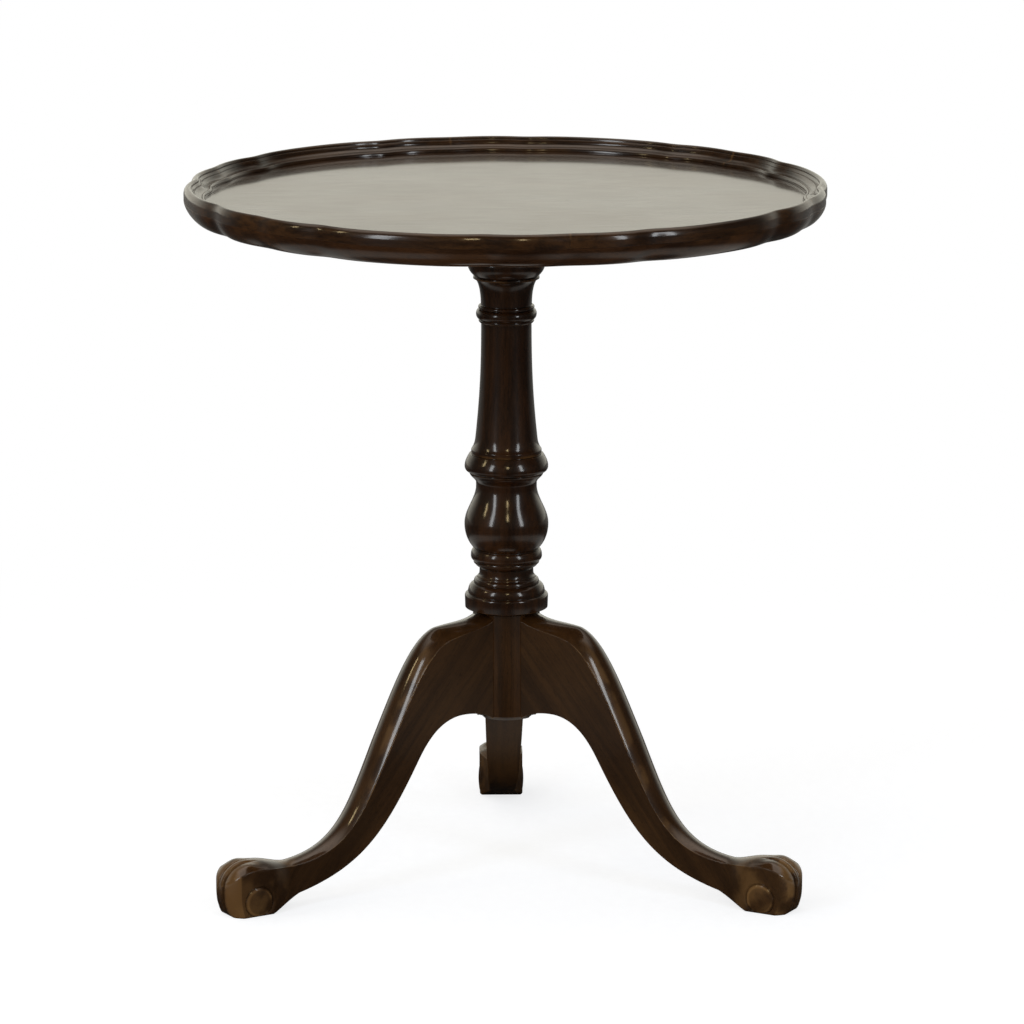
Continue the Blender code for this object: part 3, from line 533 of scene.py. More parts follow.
class EffectGroup:
    """A shader node group with named inputs and outputs, built once and placed in many materials."""

    def __init__(self, name: str, inputs: dict[str, str], outputs: dict[str, str]) -> None:
        """Make an empty group.

        Args:
            name: Name of the group.
            inputs: Kind of each input socket, by name.
            outputs: Kind of each output socket, by name.
        """
        self.tree = bpy.data.node_groups.new(name, "ShaderNodeTree")
        for direction, sockets in (("INPUT", inputs), ("OUTPUT", outputs)):
            for label, kind in sockets.items():
                self.tree.interface.new_socket(label, in_out=direction, socket_type="NodeSocket" + kind)
        self.source = self.tree.nodes.new("NodeGroupInput").outputs
        self.result = self.tree.nodes.new("NodeGroupOutput").inputs
        self.sketch = Sketch(self.tree)

    def place(self, sketch: Sketch, inputs: dict[str, object]) -> bpy.types.Node:
        """Place the group in a material and feed its inputs."""
        node = sketch.node("Group", node_tree=self.tree)
        for label, value in inputs.items():
            sketch.feed(node.inputs[label], value)
        return node


# Stretch of the wood's noises along the grain and across it, in 1/m
SWAY_STRETCH = (5.0, 14.0, 14.0)
RIBBON_STRETCH = (4.0, 34.0, 34.0)
GROWTH_STRETCH = (2.2, 130.0, 130.0)
STREAK_STRETCH = (16.0, 950.0, 950.0)
PORE_STRETCH = (170.0, 2700.0, 2700.0)

# How far the grain wavers, the weights of growth, ribbons and streaks, and the limits of tone and pores
WAVER = (0.0, 0.016, 0.016)
GROWTH_WEIGHT = 0.8
RIBBON_WEIGHT = 0.75
STREAK_WEIGHT = 0.35
TONE_RANGE = (0.72, 1.18)
PORE_RANGE = (0.58, 0.66)

# Scale and detail of the patches that wear and grime follow, of smears, and of the film's waves and grain
PATCHES = (34.0, 5.0)
SMEARS = (11.0, 4.0)
FILM_WAVES = (30.0, 1.0)
FILM_GRAIN = (420.0, 1.0)

# Eases of wear and of grime with painted shade over the patches, of the worn look over the wear, and the
# limits of the smears
RUBBED_PATCHES = (0.36, 0.6, 0.25, 1.15)
SOIL_AND_SHADE_PATCHES = (0.3, 0.62, 1.0, 0.55)
WORN_LOOK = (0.12, 0.85, 0.0, 0.9)
SMEAR_RANGE = (0.35, 0.65)

# How much of the colour the grime and painted shade take, and the roughness that grime, wear and smears add
GRIME_AND_SHADE_SHARE = 0.8
GRIME_DULLS = 0.25
WEAR_DULLS = 0.12
SMEAR_DULLS = (-0.03, 0.05)

# Heights of the film's grain and of the pores, in metres
FILM_HEIGHT = 1.2e-6
PORE_HEIGHT = -2.0e-6

# Colours that darken pores and smears, and the colour of grime and painted shade
PORE_TINT = (0.25, 0.22, 0.2, 1.0)
SMEAR_TINT = (0.72, 0.68, 0.66, 1.0)
GRIME_AND_SHADE_COLOUR = (0.004, 0.0025, 0.0015, 1.0)


def wood_figure() -> EffectGroup:
    """Build the figure of mahogany: broad ribbons, growth streaks and fine dark pores along the grain.

    Returns:
        The group, which gives a colour, a mask of the pores and the streaks.
    """
    inputs = {"Plank": "Vector", "Light": "Color", "Dark": "Color", "Figure": "Float", "Pore Depth": "Float"}
    group = EffectGroup("wood_figure", inputs, {"Color": "Color", "Pores": "Float", "Streaks": "Float"})
    draw = group.sketch
    plank = group.source["Plank"]
    sway = draw.node("TexNoise", {"Vector": draw.spread(plank, SWAY_STRETCH), "Scale": 1.0}).outputs[1]
    centred = draw.node("VectorMath", {0: sway, 1: (0.5, 0.5, 0.5)}, operation="SUBTRACT").outputs[0]
    waver = draw.spread(centred, WAVER)
    bent = draw.node("VectorMath", {0: plank, 1: waver}, operation="ADD").outputs[0]
    ribbon = draw.noise(draw.spread(bent, RIBBON_STRETCH), group.source["Figure"], 2.0)
    growth = draw.noise(draw.spread(bent, GROWTH_STRETCH), group.source["Figure"], 3.0)
    streak = draw.noise(draw.spread(bent, STREAK_STRETCH), 1.0, 2.0)
    broad = draw.math("MULTIPLY_ADD", growth, GROWTH_WEIGHT, draw.math("MULTIPLY", ribbon, RIBBON_WEIGHT))
    tone = draw.ease(draw.math("MULTIPLY_ADD", streak, STREAK_WEIGHT, broad), *TONE_RANGE)
    wood = draw.mix(tone, group.source["Dark"], group.source["Light"])
    pores = draw.ease(draw.noise(draw.spread(bent, PORE_STRETCH), 1.0, 1.0), *PORE_RANGE)
    pore_share = draw.math("MULTIPLY", pores, group.source["Pore Depth"])
    in_pores = draw.mix(1.0, wood, PORE_TINT, "MULTIPLY")
    draw.feed(group.result["Color"], draw.mix(pore_share, wood, in_pores))
    draw.feed(group.result["Pores"], pores)
    draw.feed(group.result["Streaks"], streak)
    return group


def handled_polish() -> EffectGroup:
    """Build the look of old polish: worn edges, grime and painted shade in the hollows, smears and a slightly
    uneven film.

    Returns:
        The group, which gives a colour, a roughness and a height in metres.
    """
    inputs = {
        "Wood": "Color", "Worn": "Color", "Place": "Vector", "Wear": "Float", "Grime And Shade": "Float",
        "Pores": "Float", "Roughness": "Float", "Ripple": "Float",
    }
    group = EffectGroup("handled_polish", inputs, {"Color": "Color", "Roughness": "Float", "Height": "Float"})
    draw = group.sketch
    place = group.source["Place"]
    patches = draw.noise(place, *PATCHES)
    smears = draw.noise(place, *SMEARS)
    rubbed = draw.math("MULTIPLY", group.source["Wear"], draw.ease(patches, *RUBBED_PATCHES))
    worn = draw.ease(rubbed, *WORN_LOOK)
    soil_and_shade = draw.math("MULTIPLY", group.source["Grime And Shade"], draw.ease(patches, *SOIL_AND_SHADE_PATCHES))
    bare = draw.mix(worn, group.source["Wood"], group.source["Worn"])
    smeared = draw.mix(1.0, bare, SMEAR_TINT, "MULTIPLY")
    tinted = draw.mix(draw.ease(smears, *SMEAR_RANGE), smeared, bare)
    # Grime and painted shade darken the hollows towards a near-black colour
    covered = draw.math("MULTIPLY", soil_and_shade, GRIME_AND_SHADE_SHARE)
    draw.feed(group.result["Color"], draw.mix(covered, tinted, GRIME_AND_SHADE_COLOUR))
    dull = draw.math("MULTIPLY_ADD", soil_and_shade, GRIME_DULLS, group.source["Roughness"])
    dull = draw.math("MULTIPLY_ADD", worn, WEAR_DULLS, dull)
    dull = draw.math("ADD", dull, draw.ease(smears, *NOISE_RANGE, *SMEAR_DULLS), clamp=True)
    draw.feed(group.result["Roughness"], dull)
    swell = draw.math("MULTIPLY", draw.noise(place, *FILM_WAVES), group.source["Ripple"])
    film = draw.math("MULTIPLY_ADD", draw.noise(place, *FILM_GRAIN), FILM_HEIGHT, swell)
    draw.feed(group.result["Height"], draw.math("MULTIPLY_ADD", group.source["Pores"], PORE_HEIGHT, film))
    return group


# Scale and detail of stains on metal, their limits, and how much of the colour tarnish takes
STAINS = (160.0, 5.0)
STAIN_RANGE = (0.38, 0.66)
TARNISH_SHARE = 0.75

# Stretch of the scratches in 1/m, their height in metres, their roughness, and what tarnish adds to it
SCRATCH_STRETCH = (300.0, 6000.0, 6000.0)
SCRATCH_HEIGHT = 6.0e-6
SCRATCH_ROUGHNESS = (0.22, 0.36)
TARNISH_DULLS = 0.3


def aged_metal() -> EffectGroup:
    """Build the look of old metal: tarnish that is rubbed off the edges, and fine scratches.

    Returns:
        The group, which gives a colour, a roughness and a height in metres.
    """
    inputs = {"Metal": "Color", "Tarnish": "Color", "Place": "Vector", "Wear": "Float", "Grime And Shade": "Float"}
    group = EffectGroup("aged_metal", inputs, {"Color": "Color", "Roughness": "Float", "Height": "Float"})
    draw = group.sketch
    place = group.source["Place"]
    stains = draw.noise(place, *STAINS)
    scratches = draw.noise(draw.spread(place, SCRATCH_STRETCH), 1.0, 2.0)
    film = draw.math("ADD", draw.ease(stains, *STAIN_RANGE), group.source["Grime And Shade"])
    film = draw.math("SUBTRACT", film, group.source["Wear"], clamp=True)
    covered = draw.math("MULTIPLY", film, TARNISH_SHARE)
    draw.feed(group.result["Color"], draw.mix(covered, group.source["Metal"], group.source["Tarnish"]))
    brushed = draw.ease(scratches, *NOISE_RANGE, *SCRATCH_ROUGHNESS)
    draw.feed(group.result["Roughness"], draw.math("MULTIPLY_ADD", film, TARNISH_DULLS, brushed))
    draw.feed(group.result["Height"], draw.math("MULTIPLY", scratches, SCRATCH_HEIGHT))
    return group


@dataclass(frozen=True)
class Effects:
    """The effect groups that the finishes share."""

    figure: EffectGroup
    polish: EffectGroup
    metal: EffectGroup


def opaque(colour: Colour) -> tuple[float, float, float, float]:
    """Give a colour with full alpha."""
    return (*colour, 1.0)


@dataclass(frozen=True)
class WoodFinish:
    """A stained wood with or without polish.

    Attributes:
        name: Name of the material.
        light: Colour of the pale figure.
        dark: Colour of the dark figure.
        worn: Colour where the polish is rubbed off an edge.
        figure: Scale of the figure; larger is finer.
        pore_depth: How dark the pores are, from 0 to 1.
        roughness: Roughness of the wood under its polish.
        coat: Weight of the polish.
        coat_roughness: Roughness of the polish.
        specular: Specular level of the wood under the polish.
        ripple: Height of the polish film's slow waves, in metres.
    """

    name: str
    light: Colour
    dark: Colour
    worn: Colour
    figure: float = 1.0
    pore_depth: float = 0.5
    roughness: float = 0.36
    coat: float = 1.0
    coat_roughness: float = 0.08
    specular: float = 0.12
    ripple: float = 1.2e-5

    # Share of the polish that is left on the dullest streaks
    DULL_SHARE = 0.86

    def material(self, effects: Effects) -> Material:
        """Build the finish as a material that reads the grain, the wear, and the grime and painted shade in
        the hollows, from point attributes.
        """
        material = bpy.data.materials.new(self.name)
        material.use_nodes = True
        draw = Sketch(material.node_tree)
        shader = material.node_tree.nodes["Principled BSDF"]
        plank = draw.node("Attribute", attribute_name=GRAIN).outputs["Vector"]
        wood = effects.figure.place(draw, {
            "Plank": plank, "Light": opaque(self.light), "Dark": opaque(self.dark),
            "Figure": self.figure, "Pore Depth": self.pore_depth,
        })
        film = effects.polish.place(draw, {
            "Wood": wood.outputs["Color"], "Worn": opaque(self.worn), "Pores": wood.outputs["Pores"],
            "Place": draw.node("TexCoord").outputs["Object"],
            "Wear": draw.node("Attribute", attribute_name=WEAR).outputs["Fac"],
            "Grime And Shade": draw.node("Attribute", attribute_name=GRIME_AND_SHADE).outputs["Fac"],
            "Roughness": self.roughness, "Ripple": self.ripple,
        })
        bump = draw.node("Bump", {"Height": film.outputs["Height"], "Distance": 1.0, "Strength": 1.0})
        draw.feed(shader.inputs["Base Color"], film.outputs["Color"])
        draw.feed(shader.inputs["Roughness"], film.outputs["Roughness"])
        draw.feed(shader.inputs["Normal"], bump.outputs["Normal"])
        shader.inputs["Specular IOR Level"].default_value = self.specular
        if self.coat > 0.0:
            gloss = draw.ease(wood.outputs["Streaks"], *NOISE_RANGE, self.DULL_SHARE * self.coat, self.coat)
            draw.feed(shader.inputs["Coat Weight"], gloss)
            shader.inputs["Coat Roughness"].default_value = self.coat_roughness
        return material


@dataclass(frozen=True)
class MetalFinish:
    """An old metal.

    Attributes:
        name: Name of the material.
        metal: Colour of the clean metal.
        tarnish: Colour of its tarnish.
    """

    name: str
    metal: Colour
    tarnish: Colour

    def material(self, effects: Effects) -> Material:
        """Build the finish as a material that reads the wear, and the grime and painted shade in the hollows,
        from point attributes.
        """
        material = bpy.data.materials.new(self.name)
        material.use_nodes = True
        draw = Sketch(material.node_tree)
        shader = material.node_tree.nodes["Principled BSDF"]
        skin = effects.metal.place(draw, {
            "Metal": opaque(self.metal), "Tarnish": opaque(self.tarnish),
            "Place": draw.node("TexCoord").outputs["Object"],
            "Wear": draw.node("Attribute", attribute_name=WEAR).outputs["Fac"],
            "Grime And Shade": draw.node("Attribute", attribute_name=GRIME_AND_SHADE).outputs["Fac"],
        })
        bump = draw.node("Bump", {"Height": skin.outputs["Height"], "Distance": 1.0, "Strength": 1.0})
        draw.feed(shader.inputs["Base Color"], skin.outputs["Color"])
        draw.feed(shader.inputs["Roughness"], skin.outputs["Roughness"])
        draw.feed(shader.inputs["Normal"], bump.outputs["Normal"])
        shader.inputs["Metallic"].default_value = 1.0
        return material


TOP_POLISH = WoodFinish(
    "top_polish", (0.040, 0.0165, 0.0052), (0.015, 0.0058, 0.0020), (0.09, 0.045, 0.016),
    coat_roughness=0.085, ripple=0.8e-5,
)
RIM_POLISH = WoodFinish(
    "rim_polish", (0.038, 0.0165, 0.0050), (0.0120, 0.0048, 0.0016), (0.11, 0.06, 0.022),
    figure=1.6, coat_roughness=0.14,
)
PILLAR_POLISH = WoodFinish(
    "pillar_polish", (0.029, 0.0108, 0.0030), (0.0105, 0.0038, 0.0013), (0.075, 0.036, 0.010),
    figure=1.2, coat_roughness=0.13,
)
HUB_POLISH = WoodFinish(
    "hub_polish", (0.046, 0.0190, 0.0046), (0.024, 0.0098, 0.0024), (0.10, 0.05, 0.016),
    figure=1.6, coat=0.3, coat_roughness=0.2,
)
LEG_POLISH = WoodFinish(
    "leg_polish", (0.040, 0.0180, 0.0056), (0.024, 0.0105, 0.0034), (0.13, 0.072, 0.026),
    figure=1.2, coat_roughness=0.11,
)
LEG_SATIN = WoodFinish(
    "leg_satin", (0.040, 0.0185, 0.0056), (0.023, 0.0103, 0.0032), (0.13, 0.072, 0.026),
    figure=1.2, roughness=0.45, coat=0.3, coat_roughness=0.2,
)
BARE_WOOD = WoodFinish(
    "bare_wood", (0.13, 0.068, 0.034), (0.066, 0.033, 0.017), (0.2, 0.12, 0.065),
    roughness=0.62, coat=0.0, specular=0.25, ripple=6.0e-5,
)
OLD_BRASS = MetalFinish("old_brass", (0.56, 0.38, 0.14), (0.12, 0.07, 0.025))
OLD_STEEL = MetalFinish("old_steel", (0.34, 0.33, 0.32), (0.09, 0.05, 0.032))


class Assembly:
    """What every sub-assembly does: dress its pieces and hand them to the frame."""

    def __init__(self) -> None:
        """Look up each solid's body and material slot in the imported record."""
        record = frame["record"]
        bodies = record["behaviour"]["bodies"]
        self.bodies = {node: body for body, nodes in bodies.items() for node in nodes}
        self.slots = {part["node"]: part["material_slot"] for part in record["subparts"]}

    def seat(self, piece: Piece, node: str, *materials: Material) -> None:
        """Dress a finished piece and let it stand for its solid.

        Args:
            piece: The finished piece.
            node: Name of the solid.
            materials: The piece's materials, in the order of its slots.
        """
        piece.data.materials.clear()
        for material in materials:
            piece.data.materials.append(material)
        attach(piece, self.bodies[node])
        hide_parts(node)
        LOG.info("%s: %d faces", piece.name, len(piece.data.polygons))


@dataclass
class ScallopedTop:
    """The board and its piecrust rim.

    Attributes:
        radius: Radius of the long lobes.
        turn: Angle of the first cusp, in radians.
        long_lobe: Angle that a long lobe takes, in radians.
        pinch: Depth of the valley between a long and a short lobe.
        cusp: Depth of the cusp between two short lobes.
        short_drop: How far the short lobes stay inside the long ones.
        rounding: How far the pinches and cusps are rounded, in radians.
        edge_inset: How far the board's edge is rounded under.
        rim_height: Height of the rim above the board.
        joint: Gap of the glue joints.
        seam: How far above and below the glue joint under the rim nothing is worn.
    """

    radius: float = 0.302
    turn: float = math.radians(39.8)
    long_lobe: float = math.radians(31.0)
    pinch: float = 0.0063
    cusp: float = 0.0043
    short_drop: float = 0.0010
    rounding: float = math.radians(1.4)
    edge_inset: float = 0.0160
    rim_height: float = 0.0129
    joint: float = 0.0001
    seam: float = 0.0015

    COUNT = 6
    STEPS = 120
    SAMPLES = 960
    # Radius at which the scallops are at full depth, the share of it at which they start, and a ring inside
    FLAT_RADIUS = 0.255
    FLAT_SHARE = 0.85
    INNER_RING = 0.15
    # Insets of the rings near the edge, on the field and on the underside
    FIELD_INSETS = (0.024, 0.002, 0.0)
    UNDER_INSET = 0.03
    # Rounding of the board's corners and of the rim's
    EDGE_EASING = 0.0004
    RIM_EASING = 0.00018
    # Slope under which a face belongs to the underside
    UNDERSIDE = -0.9
    # Angle, in radians, and amount of the wear at the rim's mitres, and the shift of each segment's plank
    MITRE_TURN = 0.004
    MITRE_WEAR = 0.6
    PLANK_STEP = 0.7

    def outline_radius(self, angles: np.ndarray) -> np.ndarray:
        """Give the scalloped radius: one long lobe between two pairs of short ones, in each sixth."""
        period = math.tau / self.COUNT
        turns = np.linspace(0.0, period, self.SAMPLES, endpoint=False)
        from_cusp = np.minimum(turns, period - turns)
        short_span = (period - self.long_lobe) / 2
        from_middle = (period / 2 - from_cusp) / (self.long_lobe / 2)
        long_side = self.pinch * from_middle**4
        along_short = 2.0 * from_cusp / short_span - 1.0
        to_pinch = (self.pinch - self.short_drop) * np.clip(along_short, 0.0, 1.0) ** 3
        to_cusp = (self.cusp - self.short_drop) * np.clip(-along_short, 0.0, 1.0) ** 2
        depth = np.where(from_cusp >= short_span, long_side, self.short_drop + to_pinch + to_cusp)
        blur = np.exp(-0.5 * (from_cusp / self.rounding) ** 2)
        eased = np.fft.irfft(np.fft.rfft(depth) * np.fft.rfft(blur / blur.sum()), self.SAMPLES)
        return self.radius - np.interp(np.mod(angles - self.turn, period), turns, eased, period=period)

    def scallop(self, piece: Piece) -> None:
        """Move a round piece's points in to the scalloped outline, most of all near its edge."""
        surface = Surface(piece)
        points = surface.points()
        angles = np.arctan2(points[:, 1], points[:, 0])
        radii = np.hypot(points[:, 0], points[:, 1])
        share = ease_between(self.FLAT_SHARE * self.FLAT_RADIUS, self.FLAT_RADIUS, radii)
        moved = radii + (self.outline_radius(angles) - self.radius) * share
        points[:, 0] = moved * np.cos(angles)
        points[:, 1] = moved * np.sin(angles)
        surface.move_to(points)

    def board(self) -> Piece:
        """Build the board: a flat field, an edge rounded under and a flat underside."""
        low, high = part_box("top_board")
        edge = Outline((0.0, high.z)).line((self.INNER_RING, high.z), (self.FLAT_RADIUS, high.z))
        edge.line(*((self.radius - inset, high.z) for inset in self.FIELD_INSETS))
        edge.curve(-97.0, 0.326, (self.radius - self.edge_inset, low.z), 180.0, 0.272, 18)
        rings = (self.radius - self.UNDER_INSET, self.FLAT_RADIUS, self.INNER_RING, 0.0)
        edge.line(*((ring, low.z) for ring in rings))
        board = Bench.turn("top_board_detail", edge.eased(self.EDGE_EASING), self.COUNT * self.STEPS)
        self.scallop(board)
        return board

    def rim_section(self) -> list[Point]:
        """Give the rim's section, as the inset from the outline and the height above the board."""
        section = Outline((0.0, 0.0)).line((0.0, 0.0030), (0.0, 0.0058))
        section.quarter((0.0048, self.rim_height), True, 16)
        section.quarter((0.0074, self.rim_height - 0.0023), False, 10)
        section.line((0.0075, self.rim_height - 0.0031), (0.0081, self.rim_height - 0.0033))
        section.line((0.0094, self.rim_height - 0.0053)).quarter((0.0164, 0.0032), True, 14)
        section.line((0.0169, 0.0032), (0.0169, 0.0027))
        section.quarter((0.0183, 0.0035), True, 6).quarter((0.0204, 0.0), False, 8)
        return section.line((0.0, 0.0)).eased(self.RIM_EASING)

    def rim(self) -> list[Piece]:
        """Build the rim's six segments, mitred at the cusps."""
        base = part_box("top_board")[1].z + self.joint
        outline = [(self.radius - inset, base + height) for inset, height in self.rim_section()]
        period = math.tau / self.COUNT
        gap = self.joint / self.radius
        first = Bench.turn("rim", outline, self.STEPS, self.turn + gap / 2, period - gap)
        self.scallop(first)
        segments = []
        for sixth in range(self.COUNT):
            place = Matrix.Rotation(period * sixth, 4, "Z")
            segments.append(Bench.copy(first, f"rim_segment_{sixth + 1}_detail", place))
        bpy.data.objects.remove(first, do_unlink=True)
        return segments

    def build(self, seat: Assembly, polish: Material, rim_polish: Material, bare: Material) -> None:
        """Build and dress the board and the rim.

        Args:
            seat: Hands the pieces to the frame.
            polish: Finish of the board's field and edge.
            rim_polish: Finish of the rim.
            bare: Finish of the board's underside.
        """
        board = self.board()
        Bench.soften(board)
        surface = Surface(board)
        surface.store_grain(*GrainRun.LEFT_RIGHT.value, 0.0)
        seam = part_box("top_board")[1].z
        surface.store_relief(-1.0 * (surface.points()[:, 2] > seam - self.seam))
        seat.seat(board, "top_board", polish, bare)
        for face in board.data.polygons:
            face.material_index = 1 if face.normal.z < self.UNDERSIDE else 0
        for index, segment in enumerate(self.rim()):
            Bench.soften(segment)
            middle = self.turn + math.tau / self.COUNT * (index + 0.5)
            surface = Surface(segment)
            along = (-math.sin(middle), math.cos(middle), 0.0)
            across = (math.cos(middle), math.sin(middle), 0.0)
            surface.store_grain(along, across, self.PLANK_STEP * (index + 1))
            points = surface.points()
            angles = np.arctan2(points[:, 1], points[:, 0])
            turned = np.mod(angles - middle + math.pi, math.tau) - math.pi
            ends = np.abs(turned) > math.pi / self.COUNT - self.MITRE_TURN
            surface.store_relief(self.MITRE_WEAR * ends - 1.0 * (points[:, 2] < seam + self.seam))
            seat.seat(segment, f"rim_segment_{index + 1}", rim_polish)


@dataclass(frozen=True)
class Moulding:
    """One turned moulding.

    Attributes:
        shape: How it gets from its start to its end.
        rise: How far it rises.
        radius: Radius that it ends at.
        leave: Slope at the start of a free curve, in degrees.
        arrive: Slope at the end of a free curve, in degrees.
    """

    shape: Shape
    rise: float
    radius: float
    leave: float = 90.0
    arrive: float = 90.0


@dataclass
class TurnedPillar:
    """The pillar: hub, collar, turned mouldings and wedged tenon.

    Attributes:
        hub_radius: Radius of the plain hub between the legs.
        hub_chamfer: Width of the chamfer round the hub's foot.
        hub_drop: How far the hub's foot stands below its plain solid.
        hub_flat: Distance of the legs' seats from the axis.
        leg_thickness: Thickness of a leg at its root.
        seat_top: Height of the top of the legs' seats.
        collar_foot: Radius at the collar's foot.
        collar_bottom: Height of the collar's foot.
        tenon_radius: Radius of the tenon in the block.
        neck: Radius of the plain neck under the block.
        joint: Gap between the neck and the block.
        socket_ease: Clearance of the sockets round the legs' tongues.
        kerf: Width of the saw cut for the wedge.
        kerf_depth: Depth of the saw cut.
        easing: Rounding of the turned corners.
    """

    hub_radius: float = 0.032
    hub_chamfer: float = 0.0036
    hub_drop: float = 0.0036
    hub_flat: float = 0.02575
    leg_thickness: float = 0.038
    seat_top: float = 0.2562
    collar_foot: float = 0.0330
    collar_bottom: float = 0.2565
    tenon_radius: float = 0.019
    neck: float = 0.0350
    joint: float = 0.0001
    socket_ease: float = 0.0003
    kerf: float = 0.0026
    kerf_depth: float = 0.018
    easing: float = 0.0003

    STEPS = 160
    # Pull of the double curves and of the free curves, and the slope and two pulls of the taper
    OGEE_PULL = 0.34
    CURVE_PULL = 0.36
    TAPER_SLOPE = 96.0
    TAPER_PULLS = (0.33, 0.42)
    # How far under the collar the hub's finish ends, and the shift of the pillar's plank
    HUB_MARGIN = 0.0005
    PLANK = 5.0
    MOULDINGS = (
        Moulding(Shape.LINE, 0.0028, 0.0392),
        Moulding(Shape.LINE, 0.0109, 0.0396),
        Moulding(Shape.RISE_FIRST, 0.0026, 0.0376),
        Moulding(Shape.FILLET, 0.0014, 0.0365),
        Moulding(Shape.RISE_FIRST, 0.0088, 0.0306),
        Moulding(Shape.FILLET, 0.0004, 0.0302),
        Moulding(Shape.LINE, 0.0003, 0.0310),
        Moulding(Shape.RISE_FIRST, 0.0037, 0.0292),
        Moulding(Shape.SWING_FIRST, 0.0020, 0.0276),
        Moulding(Shape.FILLET, 0.0005, 0.0271),
        Moulding(Shape.SWING_FIRST, 0.0046, 0.0256),
        Moulding(Shape.LINE, 0.0032, 0.0255),
        Moulding(Shape.CURVE, 0.0041, 0.0298, 45.0, 75.0),
        Moulding(Shape.FILLET, 0.0003, 0.0303),
        Moulding(Shape.BEAD, 0.0029, 0.0312),
        Moulding(Shape.FILLET, 0.0002, 0.0310),
        Moulding(Shape.SWING_FIRST, 0.0039, 0.0338),
        Moulding(Shape.RISE_FIRST, 0.0067, 0.0312),
        Moulding(Shape.FILLET, 0.0008, 0.0307),
        Moulding(Shape.CURVE, 0.0239, 0.0398, 46.0, 90.0),
        Moulding(Shape.OGEE, 0.0365, 0.0288),
        Moulding(Shape.LINE, 0.0030, 0.0288),
        Moulding(Shape.OGEE, 0.0102, 0.0351),
        Moulding(Shape.FILLET, 0.0004, 0.0346),
        Moulding(Shape.SWING_FIRST, 0.0050, 0.0396),
        Moulding(Shape.CURVE, 0.0122, 0.0352, 90.0, 118.0),
        Moulding(Shape.FILLET, 0.0004, 0.0329),
        Moulding(Shape.FILLET, 0.0040, 0.0333),
        Moulding(Shape.CURVE, 0.0128, 0.0292, 128.0, 96.0),
        Moulding(Shape.TAPER, 0.1090, 0.0238),
        Moulding(Shape.FILLET, 0.0004, 0.0252),
        Moulding(Shape.BEAD, 0.0028, 0.0262),
        Moulding(Shape.FILLET, 0.0002, 0.0256),
        Moulding(Shape.BEAD, 0.0096, 0.0286),
        Moulding(Shape.FILLET, 0.0002, 0.0254),
        Moulding(Shape.BEAD, 0.0032, 0.0265),
        Moulding(Shape.FILLET, 0.0012, 0.0241),
        Moulding(Shape.RISE_FIRST, 0.0243, 0.0309),
        Moulding(Shape.FILLET, 0.0019, 0.0312),
        Moulding(Shape.FILLET, 0.0006, 0.0303),
        Moulding(Shape.CURVE, 0.0119, 0.0366, 42.0, 90.0),
        Moulding(Shape.RISE_FIRST, 0.0077, 0.0335),
    )

    def outline(self) -> list[Point]:
        """Give the pillar's outline, from the hub's foot up to the tenon's end."""
        low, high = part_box("pillar")
        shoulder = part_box("tilt_block")[0].z - self.joint
        foot = low.z - self.hub_drop
        line = Outline((0.0, foot)).line((self.hub_radius - self.hub_chamfer, foot))
        line.line((self.hub_radius, foot + self.hub_chamfer), (self.hub_radius, self.collar_bottom))
        line.line((self.collar_foot, self.collar_bottom))
        for moulding in self.MOULDINGS:
            radius, height = line.points[-1]
            end = (moulding.radius, height + moulding.rise)
            if moulding.shape is Shape.LINE:
                line.line(end)
            elif moulding.shape is Shape.FILLET:
                line.line((moulding.radius, height), end)
            elif moulding.shape is Shape.BEAD:
                line.quarter((moulding.radius, height + moulding.rise / 2), False)
                line.quarter((radius, end[1]), True)
            elif moulding.shape is Shape.OGEE:
                line.curve(moulding.leave, self.OGEE_PULL, end, moulding.arrive, self.OGEE_PULL, 24)
            elif moulding.shape is Shape.TAPER:
                out, back = self.TAPER_PULLS
                line.curve(self.TAPER_SLOPE, out, end, moulding.arrive, back, 24)
            elif moulding.shape is Shape.CURVE:
                line.curve(moulding.leave, self.CURVE_PULL, end, moulding.arrive, self.CURVE_PULL, 14)
            else:
                line.quarter(end, moulding.shape is Shape.RISE_FIRST)
        height = line.points[-1][1]
        line.line((self.neck, height), (self.neck, shoulder), (self.tenon_radius, shoulder))
        line.line((self.tenon_radius, high.z), (0.0, high.z))
        return line.eased(self.easing)

    def build(self, seat: Assembly, polish: Material, hub_polish: Material) -> None:
        """Turn the pillar, cut the legs' seats and the wedge's kerf, and dress it.

        Args:
            seat: Hands the piece to the frame.
            polish: Finish of the pillar.
            hub_polish: Finish of the hub between the legs.
        """
        pillar = Bench.turn("pillar_detail", self.outline(), self.STEPS)
        low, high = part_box("pillar")
        half = self.leg_thickness / 2 + self.hub_chamfer
        outer = self.hub_radius + 2 * self.hub_chamfer
        for leg in CabrioleLegs.AZIMUTHS.values():
            cutter = Bench.block("seat", (self.hub_flat, -half, low.z), (outer, half, self.seat_top))
            cutter.data.transform(Matrix.Rotation(math.radians(leg), 4, "Z"))
            Bench.combine(pillar, cutter)
            socket = CabrioleLegs().tongue(self.socket_ease, low.z - half)
            socket.data.transform(Matrix.Rotation(math.radians(leg), 4, "Z"))
            Bench.combine(pillar, socket)
        wide = 2 * self.tenon_radius
        kerf_low = (-self.kerf / 2, -wide, high.z - self.kerf_depth)
        Bench.combine(pillar, Bench.block("kerf", kerf_low, (self.kerf / 2, wide, high.z + wide)))
        Bench.soften(pillar)
        surface = Surface(pillar)
        surface.store_grain(*GrainRun.UPRIGHT.value, self.PLANK)
        surface.store_relief()
        seat.seat(pillar, "pillar", polish, hub_polish)
        for face in pillar.data.polygons:
            face.material_index = 1 if face.center.z < self.collar_bottom - self.HUB_MARGIN else 0


